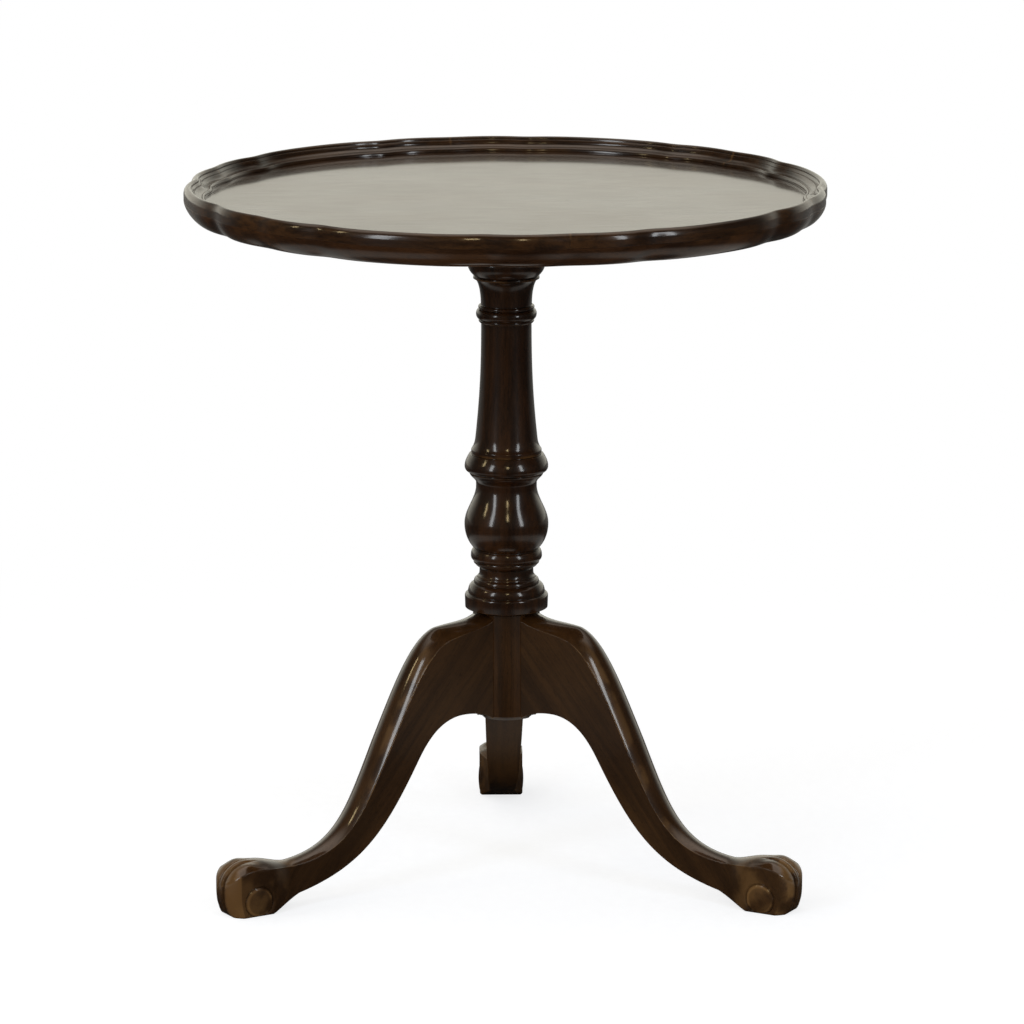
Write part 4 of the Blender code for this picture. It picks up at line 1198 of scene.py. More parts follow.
@dataclass
class CabrioleLegs:
    """Three sawn and carved legs with ball-and-claw feet, modelled once along +X and set round the hub.

    Attributes:
        shoulder: Distance of the leg's shoulder from the pillar's axis.
        root: Top and bottom of the shoulder.
        knee: Reach and height of the knee's arris.
        arch: Reach and height of the arch under the knee.
        shin: Reach and height of the shin's arris.
        calf: Reach and height of the calf, under the shin.
        ankle: Reach and height of the ankle's arris.
        heel: Reach and height of the heel, under the ankle.
        knuckle: Reach and height of the foot's highest place.
        sole_start: Reach at which the flat sole starts.
        foot_reach: Reach of the toes' front.
        widths: Thickness at the root, knee, shin, ankle and foot.
        crowns: Rise of the rounded top at the root, knee, shin, ankle and foot.
        knee_swell: Further rise of the top just below the knee.
        swell_place: Reach of the middle of that rise, and its breadth.
        arris: Rounding of the leg's upper arrises.
        foot_arris: Rounding of the foot's upper arrises.
        toe_arris: Rounding of the upper edge at the toes' tips.
        sole_arris: Rounding of the sole's edges.
        toe_radius: Radius of the foot's front in plan.
        toe_tuck: How far the toes' tips draw back towards the floor.
        tuck_range: Reach at which the toes start to draw back, and at which they do so fully.
        nose: Length of the toes' round under their foremost place, and the height of that place.
        toe_groove: Distance of the grooves between the toes from the foot's middle.
        groove_depth: Depth of those grooves.
        groove_half: Half the width of those grooves.
        ball: Reach and height of the ball's middle on the foot's side.
        ball_radius: Radius of the ball's face.
        ball_groove: Half the width of the groove round the ball.
        ball_dome: Rise of the ball's face.
        ball_cut: Depth of the groove round the ball.
        outer_toe: Distance of the outer toes from the foot's middle, and half their width.
        toe_swells: Rise of the outer toes and of the middle toe.
        toes: Reach at which the toes' carving starts, and at which it is at full depth.
        deepening: Reach at which the grooves start to deepen, and at which they are deepest.
        toe_clear: Height at which the toes' carving starts, and at which it is at full depth.
        knuckle_bump: Reach of the knuckles' middle, their breadth along the foot and across it.
        knuckle_rise: Rise of the knuckles.
        tongue_core: Distance of a tongue's inner end from the axis.
        tongue_lap: How far a tongue reaches into its leg.
        tongue_half: Half the width of a tongue at its inner end.
        tongue_top: How far a tongue's top is below the leg's.
        tongue_foot: How far a tongue's foot is above the leg's.
        tongue_flare: Narrowing of a tongue's sides, and the length over which they narrow.
    """

    shoulder: float = 0.02605
    root: Point = (0.251, 0.1562)
    knee: Point = (0.075, 0.237)
    arch: Point = (0.057, 0.1642)
    shin: Point = (0.138, 0.141)
    calf: Point = (0.110, 0.122)
    ankle: Point = (0.240, 0.0408)
    heel: Point = (0.234, 0.0139)
    knuckle: Point = (0.284, 0.0444)
    sole_start: float = 0.266
    foot_reach: float = 0.3115
    widths: tuple[float, ...] = (0.038, 0.0385, 0.037, 0.0245, 0.043)
    crowns: tuple[float, ...] = (0.0045, 0.0096, 0.0072, 0.0030, 0.0058)
    knee_swell: float = 0.0034
    swell_place: Point = (0.101, 0.026)
    arris: float = 0.0007
    foot_arris: float = 0.0014
    toe_arris: float = 0.0060
    sole_arris: float = 0.0028
    toe_radius: float = 0.026
    toe_tuck: float = 0.0038
    tuck_range: Point = (0.284, 0.300)
    nose: Point = (0.0045, 0.0235)
    toe_groove: float = 0.0044
    groove_depth: float = 0.0024
    groove_half: float = 0.0020
    ball: Point = (0.2815, 0.0140)
    ball_radius: float = 0.0130
    ball_groove: float = 0.0014
    ball_dome: float = 0.0012
    ball_cut: float = 0.0014
    outer_toe: Point = (0.0145, 0.0075)
    toe_swells: Point = (0.0009, 0.0006)
    toes: Point = (0.272, 0.292)
    deepening: Point = (0.280, 0.305)
    toe_clear: Point = (0.003, 0.014)
    knuckle_bump: tuple[float, float, float] = (0.288, 0.007, 0.005)
    knuckle_rise: float = 0.0008
    tongue_core: float = 0.014
    tongue_lap: float = 0.006
    tongue_half: float = 0.009
    tongue_top: float = 0.014
    tongue_foot: float = 0.0012
    tongue_flare: Point = (0.002, 0.01175)

    AZIMUTHS = {"leg_back": 90.0, "leg_left": 210.0, "leg_right": 330.0}
    LEG_STEPS = (36, 54, 60)
    FOOT_STEPS = 60
    TOP_POINTS = 72
    SIDE_POINTS = 56
    UNDER_POINTS = 22
    CORNER_POINTS = 5
    # Turns over the toes, in degrees with their count of points, and the power that rounds the toes' tops
    TOE_TURNS = ((0.0, 60.0, 34), (60.0, 86.0, 30))
    TOE_ROUND = 0.92
    # How soon the foot takes its full width, and the most of that half width that its corners take
    FOOT_SPREAD = 1.3
    UPPER_SHARE = 0.6
    LOWER_SHARE = 0.4
    # Power of the grooves' section, and the share of their depth at their start and added on the toes
    GROOVE_POWER = 1.2
    GROOVE_SHARES = (0.6, 0.6)
    # Part of the normal at which the toes, sides, fronts and top start, and the change to their full share
    TOES_FACE = (0.15, 0.4)
    SIDES_FACE = (0.75, 0.2)
    FRONTS_FACE = (0.3, 0.4)
    TOP_FACES = (0.5, 0.3)
    # Reach over which the wear of the foot and of its ridge comes in
    FOOT_WEAR = (0.225, 0.262)
    RIDGE_WEAR = (0.205, 0.245)
    # Distance from the foot's middle over which the wear of the toes' fronts comes in
    FRONT_WEAR = (0.005, 0.011)
    # Half width of the ridge, and where its wear ends, in half widths
    RIDGE_HALF = 0.011
    RIDGE_END = 1.4
    # How far inside the ball's edge its wear lies, and the breadth of that wear
    BALL_WEAR = (0.0006, 0.0010)
    # Amounts of wear of the foot, the toes' fronts, the ridge and the ball's edge
    WEAR_LEVELS = (0.42, 0.45, 0.40, 0.45)
    # Limits of the normal's part at which a face counts as sawn side or underside
    SAWN_SIDE = 0.8
    SAWN_UNDER = -0.2
    # Slope of the grain, and the shift of the first leg's plank and of each next one
    GRAIN_SLOPE = math.radians(-52.0)
    PLANK = 7.0
    PLANK_STEP = 0.9

    def outlines(self) -> tuple[np.ndarray, np.ndarray]:
        """Give the upper and lower outline of the leg and foot, a point of each for every section."""
        knee_steps, shin_steps, ankle_steps = self.LEG_STEPS
        upper = Outline((self.shoulder, self.root[0]))
        upper.curve(-25.0, 0.39, self.knee, -22.0, 0.31, knee_steps)
        upper.curve(-22.0, 0.22, self.shin, -64.0, 0.39, shin_steps)
        upper.curve(-64.0, 0.48, self.ankle, -5.0, 0.42, ankle_steps)
        upper.curve(0.0, 0.334, self.knuckle, 0.0, 0.40, self.FOOT_STEPS)
        lower = Outline((self.shoulder, self.root[1]))
        lower.curve(34.0, 0.32, self.arch, 0.0, 0.385, knee_steps)
        lower.curve(0.0, 0.43, self.calf, -61.0, 0.285, shin_steps)
        lower.curve(-61.0, 0.42, self.heel, -14.0, 0.42, ankle_steps)
        slope_steps = 3 * self.FOOT_STEPS // 4
        lower.curve(-24.0, 0.344, (self.sole_start, 0.0), -20.0, 0.172, slope_steps)
        flat = np.linspace(self.sole_start, self.knuckle[0], self.FOOT_STEPS - slope_steps + 1)[1:]
        lower.line(*((float(reach), 0.0) for reach in flat))
        return np.array(upper.points), np.array(lower.points)

    def along(self, values: Sequence[float]) -> np.ndarray:
        """Give a value for every section, from those at the root, knee, shin, ankle and foot."""
        row = [values[0]]
        for value, following, steps in zip(values, values[1:-1], self.LEG_STEPS):
            row += list(np.linspace(value, following, steps + 1)[1:])
        share = smooth(np.linspace(0.0, self.FOOT_SPREAD, self.FOOT_STEPS + 1)[1:])
        row += list(values[-2] + (values[-1] - values[-2]) * share)
        return np.array(row)

    def sections(self) -> list[np.ndarray]:
        """Give every section's top, bottom, half width, crown, and upper and lower corner rounding."""
        leg = [*self.outlines(), self.along(self.widths) / 2, self.along(self.crowns)]
        peak, breadth = self.swell_place
        leg[3] = leg[3] + self.knee_swell * np.exp(-(((leg[0][:, 0] - peak) / breadth) ** 2))
        leg += [self.along((self.arris,) * 4 + (edge,)) for edge in (self.foot_arris, self.sole_arris)]
        angles = np.radians(np.concatenate([np.linspace(*turn)[1:] for turn in self.TOE_TURNS]))
        spread = np.cos(angles) ** self.TOE_ROUND
        reach = self.knuckle[0] + (self.foot_reach - self.knuckle[0]) * np.sin(angles)
        round_under, middle = self.nose
        past = np.clip((reach - self.foot_reach) / round_under + 1.0, 0.0, 1.0)
        lift = middle * (1.0 - np.sqrt(1.0 - past**2))
        from_round = reach - self.foot_reach + self.toe_radius
        half = np.minimum(leg[2][-1], np.sqrt(self.toe_radius**2 - from_round**2))
        upper_edge = self.foot_arris + (self.toe_arris - self.foot_arris) * (1.0 - spread)
        toes = [
            np.stack((reach, middle + (self.knuckle[1] - middle) * spread), axis=1),
            np.stack((reach, lift), axis=1),
            half,
            leg[3][-1] * spread,
            np.minimum(upper_edge, self.UPPER_SHARE * half),
            np.minimum(self.sole_arris, self.LOWER_SHARE * half),
        ]
        return [np.concatenate(pair) for pair in zip(leg, toes)]

    def skin(self) -> np.ndarray:
        """Give the leg's plain surface as rows of points: reach, side and height."""
        tops, soles, *rows = self.sections()
        length = np.linalg.norm(tops - soles, axis=1)
        up = (tops - soles) / length[:, None]
        half, crown, corner, edge, length = (row[:, None] for row in (*rows, length))
        inner = half - corner
        across = np.linspace(1.0, -1.0, self.TOP_POINTS)[None, :] * inner
        shoulder = length + crown * (1.0 - (inner / half) ** 2)
        turn = np.linspace(0.0, math.pi / 2, self.CORNER_POINTS + 2)[1:-1][None, :]
        fall = np.linspace(0.0, 1.0, self.SIDE_POINTS)[None, :]
        side_height = shoulder - corner - fall * (shoulder - corner - edge)
        under = np.linspace(-1.0, 1.0, self.UNDER_POINTS)[None, :] * (half - edge)
        low_side = half - edge + edge * np.sin(turn)
        low_height = edge - edge * np.cos(turn)
        one = np.ones_like(fall)
        sides = np.concatenate((
            across, -inner - corner * np.sin(turn), -half * one, -low_side[:, ::-1], under,
            low_side, half * one, inner + corner * np.cos(turn)), axis=1)
        heights = np.concatenate((
            length + crown * (1.0 - (across / half) ** 2), shoulder - corner + corner * np.cos(turn),
            side_height, low_height[:, ::-1], 0.0 * under, low_height, side_height[:, ::-1],
            shoulder - corner + corner * np.sin(turn)), axis=1)
        reach = soles[:, :1] + up[:, :1] * heights
        heights = soles[:, 1:] + up[:, 1:] * heights
        tuck = np.clip(1.0 - heights / self.nose[1], 0.0, 1.0) ** 2
        tuck *= ease_between(*self.tuck_range, reach)
        return np.stack((reach - self.toe_tuck * tuck, sides, heights), axis=2)

    @staticmethod
    def skin_normals(skin: np.ndarray) -> np.ndarray:
        """Give the outward normals of a surface of closed rows."""
        round_row = np.roll(skin, -1, axis=1) - np.roll(skin, 1, axis=1)
        normals = np.cross(round_row, np.gradient(skin, axis=0))
        normals /= np.maximum(np.linalg.norm(normals, axis=2, keepdims=True), LEAST_LENGTH)
        outward = ((skin - skin.mean(axis=1, keepdims=True)) * normals).sum(2)
        return normals * np.sign(np.median(outward))

    @staticmethod
    def facing(part: np.ndarray, limits: Point) -> np.ndarray:
        """Ease in where a part of the normal is past its start, over a change."""
        start, change = limits
        return smooth((part - start) / change)

    def carve(self, skin: np.ndarray) -> tuple[np.ndarray, np.ndarray]:
        """Carve the toes and the ball into the plain surface.

        Args:
            skin: The plain surface.

        Returns:
            The carved surface, and the extra wear at each of its points.
        """
        normals = self.skin_normals(skin)
        reach, side, height = np.moveaxis(skin, 2, 0)
        aside = np.abs(side)
        facing = self.facing(np.maximum(normals[..., 2], normals[..., 0]), self.TOES_FACE)
        facing *= ease_between(*self.toe_clear, height)
        on_toes = ease_between(*self.toes, reach)
        to_groove = np.abs(aside - self.toe_groove)
        groove = np.clip(1.0 - to_groove / self.groove_half, 0.0, 1.0) ** self.GROOVE_POWER
        shallow, added = self.GROOVE_SHARES
        deep = self.groove_depth * (shallow + added * ease_between(*self.deepening, reach))
        lift = -deep * groove * on_toes * facing
        toe_middle, toe_half = self.outer_toe
        outer_rise, middle_rise = self.toe_swells
        swell = outer_rise * np.cos(np.clip((aside - toe_middle) / toe_half, -1.0, 1.0) * math.pi / 2)
        middle_toe = middle_rise * np.cos(np.clip(side / self.toe_groove, -1.0, 1.0) * math.pi / 2)
        lift += (swell + middle_toe) * on_toes * facing
        bump_reach, bump_length, bump_width = self.knuckle_bump
        along = ((reach - bump_reach) / bump_length) ** 2
        knuckle = np.exp(-(along + ((aside - toe_middle) / bump_width) ** 2))
        lift += self.knuckle_rise * knuckle * smooth(normals[..., 2])

        on_side = self.facing(np.abs(normals[..., 1]), self.SIDES_FACE)
        from_ball = np.hypot(reach - self.ball[0], height - self.ball[1])
        from_groove = np.abs(from_ball - self.ball_radius - self.ball_groove)
        ring = np.clip(1.0 - from_groove / self.ball_groove, 0.0, 1.0)
        dome = np.clip(1.0 - (from_ball / self.ball_radius) ** 2, 0.0, 1.0)
        lift += on_side * (self.ball_dome * dome - self.ball_cut * smooth(ring))
        inset, breadth = self.BALL_WEAR
        edge = on_side * np.exp(-(((from_ball - self.ball_radius + inset) / breadth) ** 2))
        front = self.facing(normals[..., 0], self.FRONTS_FACE) * ease_between(*self.FRONT_WEAR, aside)
        ridge = self.facing(normals[..., 2], self.TOP_FACES) * ease_between(*self.RIDGE_WEAR, reach)
        ridge = ridge * smooth(self.RIDGE_END - aside / self.RIDGE_HALF)
        foot = ease_between(*self.FOOT_WEAR, reach)
        wear = sum(level * part for level, part in zip(self.WEAR_LEVELS, (foot, front, ridge, edge)))
        return skin + normals * lift[..., None], wear

    def tongue(self, ease: float, bottom: float) -> Piece:
        """Make the dovetail tongue of a leg, or the shape of its socket when eased.

        Args:
            ease: Clearance on every side.
            bottom: Height of the tongue's foot.

        Returns:
            The tongue, along +X.
        """
        core = self.tongue_core - ease
        outer = self.shoulder + self.tongue_lap
        half = self.tongue_half + ease
        top = self.root[0] - self.tongue_top + ease
        tongue = Bench.block("tongue", (core, -half, bottom), (outer, half, top))
        narrowing, length = self.tongue_flare
        neck = 1.0 - narrowing / length * (outer - core) / half
        surface = Surface(tongue)
        points = surface.points()
        points[:, 1] *= np.where(points[:, 0] > self.shoulder, neck, 1.0)
        surface.move_to(points)
        return tongue

    def leg(self) -> Piece:
        """Wrap a grid into one leg along +X, close its ends and add its tongue."""
        skin, wear = self.carve(self.skin())
        rows, columns = skin.shape[:2]
        Bench.clear_selection()
        bpy.ops.mesh.primitive_grid_add(x_subdivisions=columns, y_subdivisions=rows - 1, size=1.0)
        leg = Bench.name(bpy.context.active_object, "leg")
        surface = Surface(leg)
        flat = surface.points()
        column = np.rint((flat[:, 0] + 0.5) * columns).astype(int) % columns
        row = np.rint((flat[:, 1] + 0.5) * (rows - 1)).astype(int)
        surface.move_to(skin[row, column])
        surface.store("toe_wear", wear[row, column])
        Bench.close_mesh(leg, fill=True)
        Bench.combine(leg, self.tongue(0.0, self.root[1] + self.tongue_foot), "UNION")
        return leg

    def build(self, seat: Assembly, polish: Material, satin: Material) -> None:
        """Build one leg, set three of them round the hub and dress them.

        Args:
            seat: Hands the pieces to the frame.
            polish: Finish of the legs.
            satin: Finish of the legs' sawn sides and undersides.
        """
        leg = self.leg()
        Bench.soften(leg)
        wear = leg.data.attributes["toe_wear"]
        extra = np.empty(len(leg.data.vertices), np.float32)
        wear.data.foreach_get("value", extra)
        leg.data.attributes.remove(wear)
        Surface(leg).store_relief(extra)
        normals = [face.normal for face in leg.data.polygons]
        sawn = [int(abs(n.y) > self.SAWN_SIDE or n.z < self.SAWN_UNDER) for n in normals]
        along = (math.cos(self.GRAIN_SLOPE), 0.0, math.sin(self.GRAIN_SLOPE))
        for index, (node, azimuth) in enumerate(self.AZIMUTHS.items()):
            copy = Bench.copy(leg, f"{node}_detail", Matrix())
            shift = self.PLANK + self.PLANK_STEP * index
            Surface(copy).store_grain(along, (-along[2], 0.0, along[0]), shift)
            copy.data.transform(Matrix.Rotation(math.radians(azimuth), 4, "Z"))
            seat.seat(copy, node, polish, satin)
            copy.data.polygons.foreach_set("material_index", sawn)
        bpy.data.objects.remove(leg, do_unlink=True)


class ScrewMaker:
    """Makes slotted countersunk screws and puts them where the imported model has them."""

    STEPS = 40
    # Turn of the first screw's slot and of each next one, in degrees
    SLOT_START = 12.0
    SLOT_STEP = 37.0

    def __init__(self, head: float, shank: float, slot: float) -> None:
        """Keep the head's radius, the shank's radius and the slot's width."""
        self.head = head
        self.shank = shank
        self.slot = slot

    def screw(self, length: float) -> Piece:
        """Make one screw of a length, with its head's face at height 0 and its point up."""
        # The head is drawn in shares of the height of its cone
        cone = self.head - self.shank
        profile = Outline((0.0, -0.08 * cone)).line((0.6 * self.head, -0.05 * cone), (self.head, 0.0))
        profile.line((self.head, 0.15 * cone), (self.shank, 1.15 * cone))
        profile.line((self.shank, length - 2.5 * self.shank), (0.0, length))
        screw = Bench.turn("screw", profile.eased(0.1 * cone), self.STEPS)
        wide = 2 * self.head
        cutter = Bench.block("slot", (-wide, -self.slot / 2, -wide), (wide, self.slot / 2, 0.5 * cone))
        Bench.combine(screw, cutter)
        return screw

    def build(self, seat: Assembly, names: Sequence[str], heading: Vector, metal: Material) -> None:
        """Make and dress the screws of one kind.

        Args:
            seat: Hands the pieces to the frame.
            names: Names of the solids.
            heading: Direction in which the screws point.
            metal: Finish of the screws.
        """
        low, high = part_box(names[0])
        length = abs((high - low).dot(heading))
        master = self.screw(length)
        turn = heading.to_track_quat("Z", "Y").to_matrix().to_4x4()
        for index, node in enumerate(names):
            low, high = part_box(node)
            middle = (low + high) / 2 - heading * length / 2
            spin = Matrix.Rotation(math.radians(self.SLOT_STEP * index + self.SLOT_START), 4, "Z")
            screw = Bench.copy(master, f"{node}_detail", Matrix.Translation(middle) @ turn @ spin)
            Bench.soften(screw)
            Surface(screw).store_relief()
            seat.seat(screw, node, metal)
        bpy.data.objects.remove(master, do_unlink=True)


@dataclass
class TiltFrame:
    """The block, its wedge and pins, and the bearers with their screws.

    Attributes:
        easing: Rounding of the wooden edges.
        wedge_share: Share of that rounding on the small wedge.
        flat_wear: How far wear is held back on the wooden pieces, whose faces are large and flat.
        pin_chamfer: Chamfer of the pins' ends.
        pin_easing: Rounding of that chamfer.
        screw: Head radius, shank radius and slot width of the bearers' screws.
    """

    easing: float = 0.0009
    wedge_share: float = 0.2
    flat_wear: float = 0.72
    pin_chamfer: float = 0.0008
    pin_easing: float = 0.0002
    screw: tuple[float, float, float] = (0.0045, 0.00225, 0.0009)

    PIN_STEPS = 48
    # Shift of the first wooden piece's plank; each next piece is a metre further on
    PLANK = 11.0
    RUNS = {
        "tilt_block": GrainRun.LEFT_RIGHT,
        "tenon_wedge": GrainRun.UPRIGHT,
        "bearer_left": GrainRun.FRONT_BACK,
        "bearer_right": GrainRun.FRONT_BACK,
    }

    def pin(self, node: str) -> Piece:
        """Turn one pin with chamfered ends, and lay it along the tilt axis."""
        low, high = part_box(node)
        radius = (high.z - low.z) / 2
        length = high.x - low.x
        inner = radius - self.pin_chamfer
        profile = Outline((0.0, 0.0)).line((inner, 0.0), (radius, self.pin_chamfer))
        profile.line((radius, length - self.pin_chamfer), (inner, length), (0.0, length))
        pin = Bench.turn(f"{node}_detail", profile.eased(self.pin_easing), self.PIN_STEPS)
        place = Matrix.Translation((low.x, (low.y + high.y) / 2, (low.z + high.z) / 2))
        pin.data.transform(place @ Matrix.Rotation(math.pi / 2, 4, "Y"))
        return pin

    def build(self, seat: Assembly, bare: Material, steel: Material) -> None:
        """Build and dress the wooden pieces, the pins and the screws.

        Args:
            seat: Hands the pieces to the frame.
            bare: Finish of the block, wedge and bearers.
            steel: Finish of the pins and screws.
        """
        for index, (node, run) in enumerate(self.RUNS.items()):
            easing = self.wedge_share * self.easing if node == "tenon_wedge" else self.easing
            piece = Bench.eased_copy(node, easing)
            Bench.soften(piece)
            surface = Surface(piece)
            surface.store_grain(*run.value, self.PLANK + index)
            surface.store_relief(-self.flat_wear)
            seat.seat(piece, node, bare)
        for node in ("pivot_pin_left", "pivot_pin_right"):
            pin = self.pin(node)
            Bench.soften(pin)
            Surface(pin).store_relief()
            seat.seat(pin, node, steel)
        names = [f"bearer_screw_{number}" for number in range(1, 7)]
        ScrewMaker(*self.screw).build(seat, names, Vector((0, 0, 1)), steel)


@dataclass
class SpringCatch:
    """The catch under the top: plate, case, bolt, knob and spring, with the keeper on the block.

    Attributes:
        easing: Rounding of the metal edges.
        wire: Radius of the spring's wire.
        turns: Count of the spring's turns.
        screw: Head radius, shank radius and slot width of the catch's screws.
        joint: Name of the joint that withdraws the bolt; not used.
        spring_keep: Share of the spring's length that is left when the bolt is withdrawn; not used.
        stem: Radius of the knob's stem.
        collar: Radius and height of the ring at the knob's neck.
        neck: Radius of the neck under that ring, and its depth under the ring's top.
        knob_side: Heights above the knob's foot between which its side is straight.
        knob_gap: Gap between the ring and the case.
        knob_easing: Rounding of the knob's corners.
    """

    easing: float = 0.00035
    wire: float = 0.00035
    turns: int = 6
    screw: tuple[float, float, float] = (0.0028, 0.0014, 0.0007)
    joint: str = "catch_withdraw"
    spring_keep: float = 0.5
    stem: float = 0.002
    collar: Point = (0.0032, 0.0008)
    neck: Point = (0.0024, 0.0012)
    knob_side: Point = (0.0040, 0.0030)
    knob_gap: float = 0.0003
    knob_easing: float = 0.0002

    KNOB_STEPS = 48
    WIRE_STEPS = 12
    COIL_STEPS = 32
    EASED = ("catch_plate", "catch_case", "catch_bolt", "keeper_plate")

    def knob(self) -> Piece:
        """Turn the knob: a stem, a ringed neck and a flattened ball."""
        low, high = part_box("catch_knob")
        radius = (high.x - low.x) / 2
        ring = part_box("catch_case")[0].z - self.knob_gap
        profile = Outline((0.0, high.z)).line((self.stem, high.z), (self.stem, ring))
        profile.line((self.collar[0], ring), (self.collar[0], ring - self.collar[1]))
        profile.line((self.neck[0], ring - self.neck[1]))
        profile.quarter((radius, low.z + self.knob_side[0]), True, 10)
        profile.line((radius, low.z + self.knob_side[1])).quarter((0.0, low.z), True, 12)
        knob = Bench.turn("catch_knob_detail", profile.eased(self.knob_easing), self.KNOB_STEPS)
        knob.data.transform(Matrix.Translation((0.0, (low.y + high.y) / 2, 0.0)))
        return knob

    def spring(self) -> Piece:
        """Coil the spring along Y with a screw modifier."""
        low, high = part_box("catch_spring")
        radius = (high.x - low.x) / 2 - self.wire
        length = high.y - low.y - 2 * self.wire
        Bench.clear_selection()
        level = (math.pi / 2, 0, 0)
        bpy.ops.mesh.primitive_circle_add(vertices=self.WIRE_STEPS, radius=self.wire, rotation=level)
        bpy.ops.object.transform_apply(location=True, rotation=True, scale=True)
        spring = Bench.name(bpy.context.active_object, "catch_spring_detail")
        bpy.ops.object.mode_set(mode="EDIT")
        bpy.ops.transform.translate(value=(radius, 0, 0))
        bpy.ops.object.mode_set(mode="OBJECT")
        modifier = spring.modifiers.new("coil", "SCREW")
        modifier.axis = "Z"
        modifier.iterations = self.turns
        modifier.screw_offset = length / self.turns
        modifier.steps = self.COIL_STEPS
        modifier.render_steps = self.COIL_STEPS
        modifier.merge_threshold = MERGE
        bpy.ops.object.modifier_apply(modifier=modifier.name)
        start = Vector((0.0, low.y + self.wire, (low.z + high.z) / 2))
        spring.data.transform(Matrix.Translation(start) @ Matrix.Rotation(-math.pi / 2, 4, "X"))
        return Bench.close_mesh(spring, fill=True)

    def build(self, seat: Assembly, brass: Material, steel: Material) -> None:
        """Build and dress the catch, its keeper and their screws.

        Args:
            seat: Hands the pieces to the frame.
            brass: Finish of the catch, the keeper and their screws.
            steel: Finish of the spring.
        """
        pieces = {node: Bench.eased_copy(node, self.easing) for node in self.EASED}
        pieces["catch_knob"] = self.knob()
        for node, piece in pieces.items():
            Bench.soften(piece)
            Surface(piece).store_relief()
            seat.seat(piece, node, brass)
        spring = self.spring()
        Bench.soften(spring)
        Surface(spring).store_relief()
        seat.seat(spring, "catch_spring", steel)
        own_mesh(spring)
        maker = ScrewMaker(*self.screw)
        catch_screws = [f"catch_screw_{number}" for number in range(1, 5)]
        keeper_screws = [f"keeper_screw_{number}" for number in range(1, 3)]
        maker.build(seat, catch_screws, Vector((0, 0, 1)), brass)
        maker.build(seat, keeper_screws, Vector((0, -1, 0)), brass)


@dataclass(frozen=True)
class Lamp:
    """A soft lamp that faces the table.

    Attributes:
        name: Name of the lamp.
        azimuth: Angle from the camera's direction, to the right, in degrees.
        elevation: Angle above the pillar's middle, in degrees.
        distance: Distance from the pillar.
        width: Width of the lamp.
        height: Height of the lamp.
        radiance: Brightness of its face.
        colour: Colour of its light.
    """

    name: str
    azimuth: float
    elevation: float
    distance: float
    width: float
    height: float
    radiance: float
    colour: Colour


